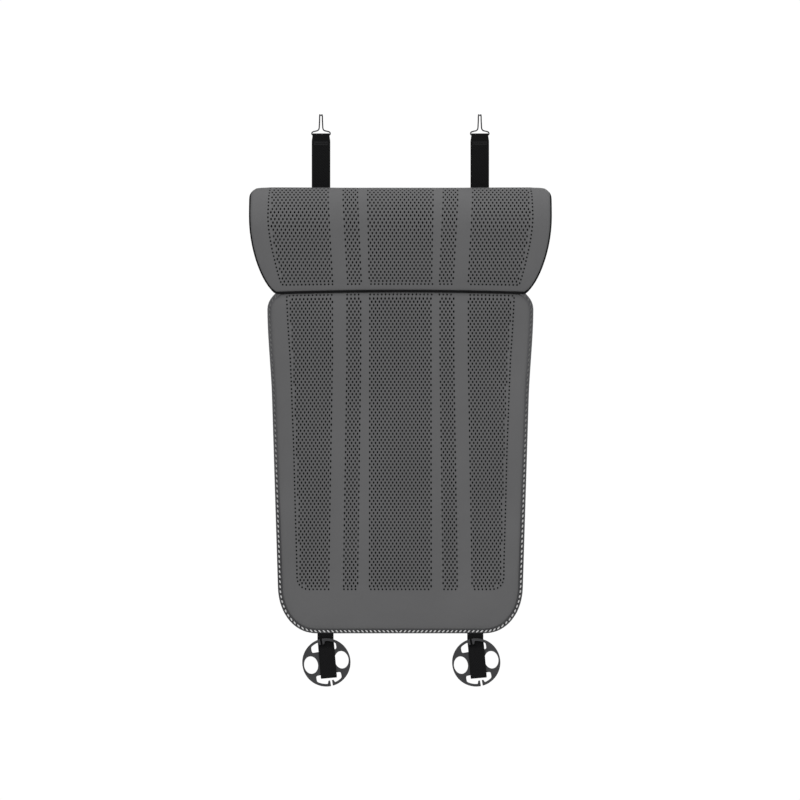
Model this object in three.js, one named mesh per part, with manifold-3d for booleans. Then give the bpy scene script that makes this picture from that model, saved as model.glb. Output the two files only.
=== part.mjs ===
// A backrest cushion for a car seat. A tapered back panel lies against the seat back, and a wider
// flap sewn across its top goes over the top of the seat. Two webbing straps with wire hooks tie the
// flap down, and two webbing loops with plastic discs hold the foot: the discs are pushed through
// the gap at the foot of the seat back, where they turn crosswise.
//
// Millimetres. +X is to the right as one faces the cushion, +Y goes into the seat back, +Z is up.
// The origin is on the back panel's flat rear face, halfway up the whole cushion.
import * as THREE from "three";
import { mergeVertices } from "three/addons/utils/BufferGeometryUtils.js";
import Module from "manifold-3d";

const wasm = await Module();
wasm.setup();

// ---- Driving dimensions

// The padding is three layers, given from the seat outwards.
const backingThickness = 1.2;
const foamThickness = 8.7;
const skinThickness = 1.5;
const clearance = 0.3;

// Heights of the back panel and of the seam that joins the flap to it.
const panelFoot = -361.5;
const seamHeight = 166;
const panelWaist = 0; // height where the long, nearly straight part of the side starts

// Half-widths of the back panel, from its top to its foot.
const seamHalfWidth = 193;
const shoulderHalfWidth = 206;
const waistHalfWidth = 198.7;
const hipHalfWidth = 189.7;
const shoulderDrop = 25.5; // from the seam to the widest place
const cornerHeight = 71; // the rounded bottom corners
const cornerWidth = 59;
const bindingWidth = 7;
const bindingThickness = 9;
const stitchInset = 3.5;
const stitchWidth = 2;
const stitchThickness = 0.8;

// The head flap: how far it runs up, over and back, and its half-widths.
const flapFront = 98.7; // the upright front, from the seam to where it starts to bend
const shoulderRadius = 63; // inside radii of the two bends, on the seat's side
const rollRadius = 24;
const shoulderTurn = 50;
const rollTurn = 50;
const flapRear = 20; // the flat end on top of the seat
const flapHalfWidth = 234;
const flapFlare = 120; // height over which the sides flare out from the seam
const flapCornerRun = 46; // the rounded rear corners, along and across the flap
const flapCornerWidth = 62;
const pipingRadius = 1.4;

// The padding is pressed thin where it is sewn.
const pinchRun = 12;
const pinch = 0.35;

// Straps. The foot straps are doubled: a loop round the disc's middle web.
const webbing = 1.4;
const topStrapWidth = 29;
const topStrapFoldWidth = 25.2; // squeezed a little between the sides of the hook
const topStrapX = 124;
const topStrapSewn = 26;
const topStrapTurn = 6; // radius of its upward turn behind the flap
const foldLap = 22; // the end folded back over the hook's bar
const footStrapWidth = 25;
const footStrapX = 116;
const footStrapSewn = 18;
const footStrapTab = 3;
const footStrapLean = 5; // degrees that the loop leans with its disc

// Wire hooks.
const hookBarHeight = seamHeight + 248;
const hookWire = 0.9; // radius
const hookHalfWidth = 14.3; // middle of the wire
const neckHalfWidth = 2.2;
const noseHalfWidth = 2.75;
const shoulderLift = 6.4; // from the bar to the wire of the hook's shoulders
const neckTop = 27.5;
const noseRadius = 4;
const noseTurn = 115;

// Anchor discs.
const discRadius = 37.4;
const discThickness = 4;
const discChamfer = 0.7;
const discHeight = panelFoot - 44.8;
const discTilt = 10; // degrees, as the disc hangs
const discShift = 1.4; // the loop's lean carries the disc sideways
const webHalfHeight = 18;
const slotRadius = 33.3;
const slotHalfWidth = 19.4;
const ovalX = 24;
const ovalHalfWidth = 10.8;
const ovalHalfHeight = 13.6;
const splitWidth = 2.8;
const splitX = 2.3;
const barbWidth = 3.2;
const barbReach = 28.4; // how near to the disc's middle the barbs come

// ---- Worked out from the above

const padThickness = backingThickness + foamThickness + skinThickness + 2 * clearance;
const padMiddle = padThickness / 2;
const layers = {
  backing: [0, backingThickness],
  foam: [backingThickness + clearance, padThickness - skinThickness - clearance],
  skin: [padThickness - skinThickness, padThickness],
};
const rad = THREE.MathUtils.degToRad;
const lerp = THREE.MathUtils.lerp;
const object = new THREE.Group();

// ---- Tools for shapes

function material(color, roughness, metalness = 0) {
  return new THREE.MeshStandardMaterial({ color, roughness, metalness });
}

function add(name, geometry, look) {
  const mesh = new THREE.Mesh(geometry, look);
  mesh.name = name;
  object.add(mesh);
  return mesh;
}

// Moves each vertex to where place(x, y, z) says.
function mapped(geometry, place) {
  const p = geometry.attributes.position;
  for (let i = 0; i < p.count; i++) {
    p.setXYZ(i, ...place(p.getX(i), p.getY(i), p.getZ(i)));
  }
  return geometry;
}

// A shape drawn in X and Z, with its depth going from front to rear along Y.
function upright(shape, front, rear, curveSegments = 12) {
  const made = new THREE.ExtrudeGeometry(shape, {
    depth: rear - front,
    bevelEnabled: false,
    curveSegments,
  });
  return mapped(made, (x, y, z) => [x, rear - z, y]);
}

// A shape drawn in Y and Z, extruded across X about the plane x = middle.
function sideways(shape, middle, width, curveSegments = 12) {
  const made = new THREE.ExtrudeGeometry(shape, {
    depth: width,
    bevelEnabled: false,
    curveSegments,
  });
  return mapped(made, (x, y, z) => [z + middle - width / 2, x, y]);
}

// A strip of webbing of the given thickness along a line of points in Y and Z.
function ribbon(points, thickness) {
  const sides = [1, -1].map((side) =>
    points.map((p, i) => {
      const along = points[Math.min(i + 1, points.length - 1)]
        .clone()
        .sub(points[Math.max(i - 1, 0)])
        .normalize();
      return new THREE.Vector2(-along.y, along.x)
        .multiplyScalar((side * thickness) / 2)
        .add(p);
    }),
  );
  return new THREE.Shape([...sides[0], ...sides[1].reverse()]);
}

function arcPoints(centreY, centreZ, radius, from, to, steps) {
  return Array.from({ length: steps + 1 }, (_, i) => {
    const a = rad(lerp(from, to, i / steps));
    return new THREE.Vector2(centreY + radius * Math.cos(a), centreZ + radius * Math.sin(a));
  });
}

// A round cord or wire along a curve.
function cord(curve, radius, steps, sides) {
  const section = new THREE.Shape(
    Array.from({ length: sides }, (_, i) => {
      const a = (2 * Math.PI * i) / sides;
      return new THREE.Vector2(radius * Math.cos(a), radius * Math.sin(a));
    }),
  );
  return new THREE.ExtrudeGeometry(section, { steps, extrudePath: curve });
}

// Between a three.js geometry and a manifold-3d solid, which joins and cuts.
function solid(geometry) {
  const bare = (geometry.index ? geometry.toNonIndexed() : geometry.clone())
    .deleteAttribute("normal")
    .deleteAttribute("uv");
  const merged = mergeVertices(bare, 1e-4);
  return new wasm.Manifold(
    new wasm.Mesh({
      numProp: 3,
      vertProperties: merged.attributes.position.array,
      triVerts: new Uint32Array(merged.index.array),
    }),
  );
}

function geometryOf(body) {
  const mesh = body.getMesh();
  return new THREE.BufferGeometry()
    .setAttribute("position", new THREE.BufferAttribute(mesh.vertProperties, 3))
    .setIndex(new THREE.BufferAttribute(mesh.triVerts, 1));
}

function block(x, y, z, middle) {
  return new THREE.BoxGeometry(x, y, z).translate(...middle);
}

// ---- Pads: outlines, rows and layers

// The right-hand edge of the back panel, from its foot up to the seam: x is the half-width.
const panelEdge = new THREE.Path()
  .moveTo(hipHalfWidth - cornerWidth, panelFoot)
  .bezierCurveTo(
    hipHalfWidth - 0.41 * cornerWidth,
    panelFoot,
    hipHalfWidth - 1,
    panelFoot + 0.44 * cornerHeight,
    hipHalfWidth,
    panelFoot + cornerHeight,
  )
  .lineTo(waistHalfWidth, panelWaist)
  .bezierCurveTo(
    lerp(waistHalfWidth, shoulderHalfWidth, 0.15),
    lerp(panelWaist, seamHeight - shoulderDrop, 0.3),
    shoulderHalfWidth,
    lerp(panelWaist, seamHeight - shoulderDrop, 0.7),
    shoulderHalfWidth,
    seamHeight - shoulderDrop,
  )
  .bezierCurveTo(
    shoulderHalfWidth,
    seamHeight - 0.55 * shoulderDrop,
    lerp(seamHalfWidth, shoulderHalfWidth, 0.55),
    seamHeight - 0.3 * shoulderDrop,
    seamHalfWidth,
    seamHeight,
  )
  .getPoints(14);

// The flap's section: arcs and straight runs, each with the length of its middle layer.
const shoulderMiddle = shoulderRadius + padMiddle;
const rollMiddle = rollRadius + padMiddle;
const flapRuns = [
  { length: flapFront, turn: 0 },
  { length: shoulderMiddle * rad(shoulderTurn), turn: shoulderTurn },
  { length: rollMiddle * rad(rollTurn), turn: rollTurn },
  { length: flapRear, turn: 0 },
];
const flapLength = flapRuns.reduce((sum, run) => sum + run.length, 0);

// Where the middle of the flap's thickness is at a distance from the seam, and which way is out.
function flapPlace(distance) {
  let y = -padMiddle;
  let z = seamHeight;
  let heading = 0;
  let left = distance;
  for (const run of flapRuns) {
    const step = run === flapRuns.at(-1) ? left : Math.min(left, run.length);
    const turn = rad(run.turn) * (step / run.length);
    const radius = run.turn ? run.length / rad(run.turn) : 0;
    if (radius) {
      y += radius * (Math.cos(heading) - Math.cos(heading + turn));
      z += radius * (Math.sin(heading + turn) - Math.sin(heading));
    } else {
      y += step * Math.sin(heading);
      z += step * Math.cos(heading);
    }
    heading += turn;
    left -= step;
    if (left <= 0) break;
  }
  return { y, z, outY: -Math.cos(heading), outZ: Math.sin(heading), heading };
}

// The right-hand edge of the flap, from the seam over to its rear: y is the distance from the seam.
const flapEdge = new THREE.Path()
  .moveTo(seamHalfWidth, 0)
  .bezierCurveTo(
    lerp(seamHalfWidth, flapHalfWidth, 0.41),
    0.075 * flapFlare,
    flapHalfWidth,
    0.5 * flapFlare,
    flapHalfWidth,
    flapFlare,
  )
  .lineTo(flapHalfWidth, flapLength - flapCornerRun)
  .absellipse(
    flapHalfWidth - flapCornerWidth,
    flapLength - flapCornerRun,
    flapCornerWidth,
    flapCornerRun,
    0,
    Math.PI / 2,
    false,
  )
  .getPoints(14);

// An edge moved inwards by a distance at right angles to itself.
function insetEdge(edge, distance) {
  return edge.map((p, i) => {
    const along = edge[Math.min(i + 1, edge.length - 1)]
      .clone()
      .sub(edge[Math.max(i - 1, 0)])
      .normalize();
    return new THREE.Vector2(p.x - along.y * distance, p.y + along.x * distance);
  });
}

function halfWidthAt(edge, height) {
  const i = edge.findIndex((p) => p.y >= height);
  if (i <= 0) return edge[i < 0 ? edge.length - 1 : 0].x;
  const share = (height - edge[i - 1].y) / (edge[i].y - edge[i - 1].y);
  return lerp(edge[i - 1].x, edge[i].x, share);
}

// A layer of a pad: a box whose cross-sections are moved onto the rows.
function layer(rows, [inner, outer]) {
  const steps = rows.length - 1;
  const made = new THREE.BoxGeometry(2, 1, 1, 1, 1, steps);
  return mapped(made, (x, y, z) => {
    const row = rows[Math.round((z + 0.5) * steps)];
    const offset = ((y > 0 ? inner : outer) - padMiddle) * row.squeeze;
    return [x * row.half, row.y + row.outY * offset, row.z + row.outZ * offset];
  });
}

function squeezeAt(fromSewing) {
  return lerp(pinch, 1, THREE.MathUtils.smoothstep(fromSewing, 0, pinchRun));
}

const cornerRows = [0, 0.04, 0.12, 0.24, 0.42, 0.66, 1];
const panelInner = insetEdge(panelEdge, bindingWidth + clearance);
const panelTop = seamHeight - pipingRadius - 2 * clearance;
const panelRows = [
  ...cornerRows.map((t) => panelFoot + bindingWidth + clearance + t * (cornerHeight - bindingWidth)),
  panelWaist,
  ...[0.15, 0.3, 0.45, 0.6, 0.7, 0.8, 0.86].map((t) => lerp(panelWaist, seamHeight, t)),
  ...[1, 0.8, 0.5, 0.25, 0].map((t) => panelTop - t * pinchRun),
].map((height) => ({
  y: -padMiddle,
  z: height,
  outY: -1,
  outZ: 0,
  half: halfWidthAt(panelInner, height),
  squeeze: squeezeAt(panelTop - height),
}));

const flapInner = insetEdge(flapEdge, 2 * pipingRadius + clearance);
const flapStart = pipingRadius + clearance;
const flapEnd = flapLength - 2 * pipingRadius - clearance;
const cornerEase = 7; // the layers keep clear of the piping where it turns up from the seam
const squeezeShare = (d) => 1 - THREE.MathUtils.smoothstep(d, 0, pinchRun / 2);
const flapBendStart = flapFront;
const flapBendEnd = flapLength - flapRear;
const flapRows = [
  ...[0, 0.25, 0.5, 0.8, 1, 2, 4].map((t) => flapStart + t * pinchRun),
  ...Array.from({ length: 11 }, (_, i) => lerp(flapBendStart, flapBendEnd, i / 10)),
  ...[1, 0.6, 0.3, 0].map((t) => flapEnd - t * pinchRun),
].map((distance) => ({
  ...flapPlace(distance),
  half: halfWidthAt(flapInner, distance) - cornerEase * squeezeShare(distance - flapStart),
  squeeze: Math.min(squeezeAt(distance - flapStart), squeezeAt(flapEnd - distance)),
}));

// ---- Materials

const leatherette = material(0x636466, 0.62);
const foamLook = material(0x2b2b2d, 0.95);
const backingLook = material(0x1c1c1e, 0.95);
const bindingLook = material(0x3c3c3e, 0.7);
const threadLook = material(0xb8b8b8, 0.8);
const pipingLook = material(0x121214, 0.55);
const webbingLook = material(0x161618, 0.9);
const blackThread = material(0x0e0e10, 0.85);
const chrome = material(0xd8dadd, 0.12, 1);
const plastic = material(0x454547, 0.45);

// ---- Back panel

// Webbing runs into pockets in the binding and the foam, where it is sewn.
const footStack = 2 * webbing + clearance;
const footStrapY = -padMiddle + 0.6;
function footPocket(side) {
  return solid(
    block(
      footStrapWidth + 2 * clearance,
      footStack + 2 * clearance,
      2 * (footStrapSewn + clearance),
      [side * footStrapX, footStrapY, panelFoot],
    ),
  );
}
function withPockets(geometry) {
  return geometryOf(solid(geometry).subtract(footPocket(-1)).subtract(footPocket(1)));
}

// A band that follows the sides and the foot of the panel, between two insets of its edge.
function edgeBand(near, far, front, rear) {
  const outer = insetEdge(panelEdge, near).filter((p) => p.y < panelTop);
  const inner = insetEdge(panelEdge, far).filter((p) => p.y < panelTop);
  const mirrored = (edge) => edge.map((p) => new THREE.Vector2(-p.x, p.y));
  const shape = new THREE.Shape([
    ...mirrored(outer).reverse(),
    ...outer,
    ...inner.reverse(),
    ...mirrored(inner).reverse(),
  ]);
  return upright(shape, front, rear);
}

add("back_panel_backing", layer(panelRows, layers.backing), backingLook);
add("back_panel_foam", withPockets(layer(panelRows, layers.foam)), foamLook);
add("back_panel_skin", layer(panelRows, layers.skin), leatherette);
add(
  "back_panel_edge_binding",
  withPockets(edgeBand(0, bindingWidth, -bindingThickness - clearance, -clearance)),
  bindingLook,
);
const stitchRear = -bindingThickness - 2 * clearance;
add(
  "back_panel_edge_stitching",
  edgeBand(
    stitchInset - stitchWidth / 2,
    stitchInset + stitchWidth / 2,
    stitchRear - stitchThickness,
    stitchRear,
  ),
  threadLook,
);

// ---- Head flap

add("head_flap_backing", layer(flapRows, layers.backing), backingLook);
add("head_flap_foam", layer(flapRows, layers.foam), foamLook);
add("head_flap_skin", layer(flapRows, layers.skin), leatherette);

// The piping goes right round the flap: along the seam, up the sides and across the rear, where
// its two ends meet in a butt joint.
const pipingEdge = insetEdge(flapEdge, pipingRadius);
function pipingPoint(x, distance) {
  const place = flapPlace(distance);
  return new THREE.Vector3(x, place.y, place.z);
}
const pipingSide = Array.from({ length: 26 }, (_, i) => {
  const distance = lerp(3 * pipingRadius, flapLength - pipingRadius, Math.sin((i / 25) * 1.5708));
  return pipingPoint(halfWidthAt(pipingEdge, distance), distance);
});
const pipingRear = [0.72, 0.4, 0.15].map((t) =>
  pipingPoint(t * (flapHalfWidth - flapCornerWidth), flapLength - pipingRadius),
);
const pipingSeam = [0, 0.3, 0.6, 0.85, 0.97].map((t) => pipingPoint(t * seamHalfWidth, 0));
const pipingHalf = [...pipingSeam, ...pipingSide, ...pipingRear];
const pipingButt = pipingPoint(clearance, flapLength - pipingRadius);
const mirrorX = (p) => new THREE.Vector3(-p.x, p.y, p.z);
const pipingCurve = new THREE.CatmullRomCurve3(
  [
    mirrorX(pipingButt),
    ...pipingHalf.slice(1).map(mirrorX).reverse(),
    ...pipingHalf,
    pipingButt,
  ],
  false,
  "centripetal",
);
add("head_flap_piping", cord(pipingCurve, pipingRadius, 104, 6), pipingLook);

// ---- Top straps and their hooks

// The sewn end follows the inside of the flap's rear, passes its edge and turns up.
const rearHeading = rad(shoulderTurn + rollTurn);
const strapOffset = -clearance - webbing / 2;
function underFlap(distance) {
  const place = flapPlace(distance);
  const squeeze = squeezeAt(Math.max(0, flapEnd - distance));
  const offset = (strapOffset - padMiddle) * squeeze - (1 - squeeze) * (webbing / 2 + clearance);
  return new THREE.Vector2(place.y + place.outY * offset, place.z + place.outZ * offset);
}
const rootEnd = flapLength + 1.5;
const rootRun = Array.from({ length: 9 }, (_, i) => {
  return underFlap(lerp(rootEnd - topStrapSewn, rootEnd, i / 8));
});
const turnStart = rootRun.at(-1);
const turnCentreY = turnStart.x + topStrapTurn * Math.cos(rearHeading);
const turnCentreZ = turnStart.y + topStrapTurn * Math.sin(rearHeading);
const rootTurn = arcPoints(
  turnCentreY,
  turnCentreZ,
  topStrapTurn,
  THREE.MathUtils.radToDeg(-rearHeading),
  0,
  8,
).slice(1);
const topStrapY = turnCentreY + topStrapTurn;
const topSwingZ = turnCentreZ + clearance / 2;
const topSwingY = topStrapY + webbing / 2 + clearance;

// The hook's bar lies between the strap and its folded end, which is on the rear side.
const barY = topStrapY + webbing / 2;
const loopRadius = hookWire + clearance + webbing;
function topStrapShape() {
  const front = topStrapY - webbing / 2;
  const rear = topStrapY + webbing / 2;
  const lapRear = rear + webbing;
  const lapFoot = hookBarHeight - foldLap;
  const necking = hookBarHeight - 2 * loopRadius;
  const shape = new THREE.Shape()
    .moveTo(rear, turnCentreZ + clearance)
    .lineTo(rear, lapFoot)
    .lineTo(lapRear, lapFoot)
    .lineTo(lapRear, necking);
  arcPoints(barY, hookBarHeight, loopRadius, -15, 195, 12).forEach((p) => shape.lineTo(p.x, p.y));
  shape.lineTo(front, necking).lineTo(front, turnCentreZ + clearance);
  shape.holes.push(
    new THREE.Path(arcPoints(barY, hookBarHeight, hookWire + clearance, 360, 30, 11)),
  );
  return shape;
}

// One closed ring of wire: the bar, the shoulders, the two wires of the neck and the curled nose.
function hookCurve() {
  const half = [
    [clearance / 2, 0, 0],
    [6, 0, 0],
    [hookHalfWidth - 1.9, 0, 0],
    [hookHalfWidth - 0.4, 0, 1],
    [hookHalfWidth, 0, 2.9],
    [hookHalfWidth - 1.4, 0, shoulderLift - 1.6],
    [hookHalfWidth - 5, 0, shoulderLift - 0.5],
    [neckHalfWidth + 3, 0, shoulderLift + 0.6],
    [neckHalfWidth + 0.9, 0, shoulderLift + 3.4],
    [neckHalfWidth + 0.4, 0, shoulderLift + 9],
    [neckHalfWidth, 0, neckTop - 4],
  ];
  for (let turn = 0; turn <= noseTurn; turn += 28) {
    const a = rad(turn);
    half.push([
      lerp(neckHalfWidth, noseHalfWidth, turn / noseTurn),
      noseRadius * (Math.cos(a) - 1),
      neckTop + noseRadius * Math.sin(a),
    ]);
  }
  const [, endY, endZ] = half.at(-1);
  const onY = -Math.sin(rad(noseTurn));
  const onZ = Math.cos(rad(noseTurn));
  half.push([
    0.72 * noseHalfWidth,
    endY + 0.72 * noseHalfWidth * onY,
    endZ + 0.72 * noseHalfWidth * onZ,
  ]);
  const tip = [0, endY + noseHalfWidth * onY, endZ + noseHalfWidth * onZ];
  const left = half.map(([x, y, z]) => [-x, y, z]).reverse();
  return new THREE.CatmullRomCurve3(
    [...half, tip, ...left].map((p) => new THREE.Vector3(...p)),
    false,
    "centripetal",
  );
}

// Box stitching: a frame with a cross inside it, through strap and flap.
function boxStitch(width, height, line) {
  const frame = [1, -1].map((s) =>
    solid(block(width, stitchThickness, line, [0, 0, (s * (height - line)) / 2])).add(
      solid(block(line, stitchThickness, height, [(s * (width - line)) / 2, 0, 0])),
    ),
  );
  const diagonal = Math.hypot(width - line, height - line);
  const angle = Math.atan2(height - line, width - line);
  const cross = [1, -1].map((s) =>
    solid(block(diagonal, stitchThickness, line, [0, 0, 0]).rotateY(s * angle)),
  );
  return geometryOf(frame[0].add(frame[1]).add(cross[0]).add(cross[1]));
}

const boxStitchHeight = 14;
const boxStitchLine = 1.1;
for (const [side, word] of [
  [-1, "left"],
  [1, "right"],
]) {
  const x = side * topStrapX;
  add(
    `top_strap_root_${word}`,
    sideways(ribbon([...rootRun, ...rootTurn], webbing), x, topStrapWidth),
    webbingLook,
  );
  const sewn = flapPlace(flapEnd - pinchRun - 0.5);
  const stitching = add(
    `top_strap_box_stitching_${word}`,
    boxStitch(topStrapWidth - 5, boxStitchHeight, boxStitchLine),
    threadLook,
  );
  const lift = padMiddle + clearance + stitchThickness / 2;
  const back = boxStitchHeight / 2;
  stitching.position.set(
    x,
    sewn.y + sewn.outY * lift - back * Math.sin(sewn.heading),
    sewn.z + sewn.outZ * lift - back * Math.cos(sewn.heading),
  );
  stitching.rotation.x = -sewn.heading;

  const strap = sideways(topStrapShape(), x, topStrapWidth);
  const foldStart = hookBarHeight - 3 * loopRadius;
  add(
    `top_strap_${word}`,
    mapped(strap, (px, y, z) => {
      const share = THREE.MathUtils.smoothstep(z, foldStart, hookBarHeight - loopRadius);
      return [x + (px - x) * lerp(1, topStrapFoldWidth / topStrapWidth, share), y, z];
    }),
    webbingLook,
  );
  add(
    `top_strap_tack_${word}`,
    block(topStrapFoldWidth - 4, 0.5, 6, [
      x,
      topStrapY - webbing / 2 - clearance - 0.25,
      hookBarHeight - 13,
    ]),
    blackThread,
  );
  const hook = add(`hook_${word}`, cord(hookCurve(), hookWire, 72, 6), chrome);
  hook.position.set(x, barY, hookBarHeight);
}

// ---- Foot straps and anchor discs

const strandStep = webbing + clearance;
const rearStrandY = footStrapY + strandStep / 2;
const frontStrandY = footStrapY - strandStep / 2;
const discRearY = frontStrandY - webbing / 2 - clearance;
const discFrontY = discRearY - discThickness;
const webFrontY = discFrontY - clearance - webbing / 2;
const tabFoot = panelFoot - footStrapTab;
const footSwingZ = tabFoot - clearance - footStack / 2;

// The loop, from its rounded top down behind the disc, round the middle web and back up in front
// of it, through the upper slot. Both strands meet behind the disc's upper rim.
function footLoopShape() {
  const foldRadius = (rearStrandY - webFrontY) / 2;
  const foldY = (rearStrandY + webFrontY) / 2;
  const foldZ = discHeight - webHalfHeight - 2.2;
  const slotTop = discHeight + barbReach - 1.2;
  const slotFoot = discHeight + webHalfHeight + 2.6;
  const half = webbing / 2;
  const shape = new THREE.Shape();
  shape.moveTo(rearStrandY + half, footSwingZ);
  arcPoints(footStrapY, footSwingZ, footStack / 2, 15, 165, 8).forEach((p) =>
    shape.lineTo(p.x, p.y),
  );
  shape.lineTo(frontStrandY - half, footSwingZ);
  shape.lineTo(frontStrandY - half, slotTop);
  shape.lineTo(webFrontY - half, slotFoot);
  arcPoints(foldY, foldZ, foldRadius + half, 180, 360, 12).forEach((p) => shape.lineTo(p.x, p.y));
  // The inside of the loop is an opening, from the upper slot down to the fold.
  const inside = new THREE.Path();
  const gap = clearance / 2;
  inside.moveTo(rearStrandY - half, slotTop - webbing);
  inside.lineTo(rearStrandY - half, foldZ);
  arcPoints(foldY, foldZ, foldRadius - half, 360, 180, 12).forEach((p) => inside.lineTo(p.x, p.y));
  inside.lineTo(webFrontY + half, slotFoot - webbing / 2);
  inside.lineTo(frontStrandY + half + gap, slotTop - webbing);
  shape.holes.push(inside);
  return shape;
}

// Below the disc's rim the loop leans, because the disc hangs a little askew.
function leaning(x, y, z, middle) {
  const top = discHeight + discRadius;
  const a = rad(footStrapLean) * THREE.MathUtils.smoothstep(top - z, -1, 12);
  const dx = x - middle;
  const dz = z - top;
  return [middle + dx * Math.cos(a) - dz * Math.sin(a), y, top + dx * Math.sin(a) + dz * Math.cos(a)];
}

// A disc with two oval holes and two slots that are split through the rim. A strap is slipped in
// through a split, and the barbs beside it keep the strap from slipping out.
function anchorDisc() {
  const r = discRadius;
  const t = discThickness;
  const c = discChamfer;
  const profile = [
    [0, 0],
    [r - c, 0],
    [r, c],
    [r, t - c],
    [r - c, t],
    [0, t],
  ].map((p) => new THREE.Vector2(...p));
  // Turned about the lathe's axis, then laid so that the axis is Y.
  let disc = solid(new THREE.LatheGeometry(profile, 48));
  const through = (shape, turn) => solid(upright(shape, -1, t + 1, 7).rotateY(turn));

  const w = slotHalfWidth;
  const endX = w - 2.6;
  const endZ = -Math.sqrt(slotRadius ** 2 - endX ** 2);
  const endAngle = Math.atan2(endZ, endX);
  const slot = new THREE.Shape()
    .moveTo(4.6 - w, -webHalfHeight)
    .quadraticCurveTo(-w, -webHalfHeight, -w, endZ + 5)
    .quadraticCurveTo(-w, endZ + 1.5, -endX, endZ)
    .absarc(0, 0, slotRadius, -Math.PI - endAngle, endAngle, false)
    .quadraticCurveTo(w, endZ + 1.5, w, endZ + 5)
    .quadraticCurveTo(w, -webHalfHeight, w - 4.6, -webHalfHeight);
  for (const turn of [0, Math.PI]) {
    const oval = new THREE.Shape().absellipse(ovalX, 0, ovalHalfWidth, ovalHalfHeight, 0, 2 * Math.PI);
    disc = disc.subtract(through(oval, turn)).subtract(through(slot, turn));
    for (const barbSide of [-1, 1]) {
      const barbX = splitX + (barbSide * (splitWidth + barbWidth)) / 2;
      const barb = block(barbWidth, t, slotRadius + 1 - barbReach, [
        barbX,
        t / 2,
        -(slotRadius + 1 + barbReach) / 2,
      ]);
      disc = disc.add(solid(barb.rotateY(turn)));
    }
    const split = block(splitWidth, t + 2, 12, [splitX, t / 2, -r]);
    disc = disc.subtract(solid(split.rotateY(turn)));
  }
  return geometryOf(disc);
}

for (const [side, word] of [
  [-1, "left"],
  [1, "right"],
]) {
  const x = side * footStrapX;
  add(
    `foot_strap_root_${word}`,
    block(footStrapWidth, footStack, footStrapSewn + footStrapTab, [
      x,
      footStrapY,
      panelFoot + (footStrapSewn - footStrapTab) / 2,
    ]),
    webbingLook,
  );
  add(
    `foot_strap_loop_${word}`,
    mapped(sideways(footLoopShape(), x, footStrapWidth), (px, y, z) => leaning(px, y, z, x)),
    webbingLook,
  );
  const disc = add(`anchor_disc_${word}`, anchorDisc(), plastic);
  disc.position.set(x + discShift, discFrontY, discHeight);
  disc.rotation.y = -rad(discTilt);
}

export default object;
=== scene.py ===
# The looks of a backrest cushion for a car seat: a tapered back panel and a head flap of
# perforated grey leatherette, tied at the top by webbing straps with wire hooks, and held at the
# foot by webbing loops with plastic anchor discs.
import math

from bisect import bisect_left

import bmesh
import bpy
from mathutils import Matrix, Vector
from mathutils.bvhtree import BVHTree
from mathutils.geometry import interpolate_bezier
from mathutils.kdtree import KDTree


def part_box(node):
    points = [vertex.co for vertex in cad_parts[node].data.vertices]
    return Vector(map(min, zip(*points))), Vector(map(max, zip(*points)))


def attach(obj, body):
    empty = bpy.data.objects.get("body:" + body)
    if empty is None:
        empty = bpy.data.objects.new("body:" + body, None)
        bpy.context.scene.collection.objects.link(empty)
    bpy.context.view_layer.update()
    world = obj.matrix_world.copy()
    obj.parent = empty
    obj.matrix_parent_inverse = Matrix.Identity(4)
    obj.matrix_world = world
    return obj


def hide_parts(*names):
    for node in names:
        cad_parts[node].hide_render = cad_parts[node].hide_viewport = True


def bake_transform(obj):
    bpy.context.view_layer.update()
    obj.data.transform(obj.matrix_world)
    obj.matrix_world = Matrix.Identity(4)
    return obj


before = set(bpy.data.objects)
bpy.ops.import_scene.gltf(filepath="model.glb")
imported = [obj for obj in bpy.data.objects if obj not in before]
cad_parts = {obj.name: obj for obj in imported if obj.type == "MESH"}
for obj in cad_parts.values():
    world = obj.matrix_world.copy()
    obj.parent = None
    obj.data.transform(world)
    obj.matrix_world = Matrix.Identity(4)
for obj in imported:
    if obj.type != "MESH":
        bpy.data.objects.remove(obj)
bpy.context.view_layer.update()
MM = 0.001

# ---- Camera and room
# A long lens looks straight at the middle of the cushion, which hangs in a white room over a
# pale paper floor, between four soft lights.
FIELD = 1.24  # metres of the cushion's plane that the picture takes in
LENS = 250.0
SENSOR = 36.0
OFF_CENTRE = -0.0006  # the lens stands this far to the side of the middle
FLOOR_RADIUS = 2.6
FLOOR_HEIGHT = -0.92
ROOM_LIGHT = 0.42  # how strongly the white room lights the cushion
ROOM_WHITE = 1.02  # and how bright it is to the eye

camera = bpy.data.objects.new("camera", bpy.data.cameras.new("camera"))
bpy.context.scene.collection.objects.link(camera)
camera.data.lens = LENS
camera.data.sensor_width = SENSOR
camera.location = (OFF_CENTRE, -FIELD * LENS / SENSOR, 0)
camera.rotation_euler = (math.radians(90), 0, 0)
camera.data.clip_end = 60
bpy.context.scene.camera = camera


def linear(hex_colour):
    """A colour given as sRGB hex, as the linear values that shaders take."""
    parts = [int(hex_colour[i : i + 2], 16) / 255 for i in (1, 3, 5)]
    toned = [c / 12.92 if c <= 0.04045 else ((c + 0.055) / 1.055) ** 2.4 for c in parts]
    return (*toned, 1.0)


def new_material(name):
    """An empty node material with a Principled shader; gives the material and its shader."""
    made = bpy.data.materials.new(name)
    made.use_nodes = True
    return made, made.node_tree.nodes["Principled BSDF"]


def add_node(made, kind, settings=None, inputs=None):
    """Adds a node: settings are its own, and an input's value is a number, a colour or a socket."""
    node = made.node_tree.nodes.new(kind)
    for key, value in (settings or {}).items():
        setattr(node, key, value)
    for key, value in (inputs or {}).items():
        if isinstance(value, bpy.types.NodeSocket):
            made.node_tree.links.new(value, node.inputs[key])
        else:
            node.inputs[key].default_value = value
    return node


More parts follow.
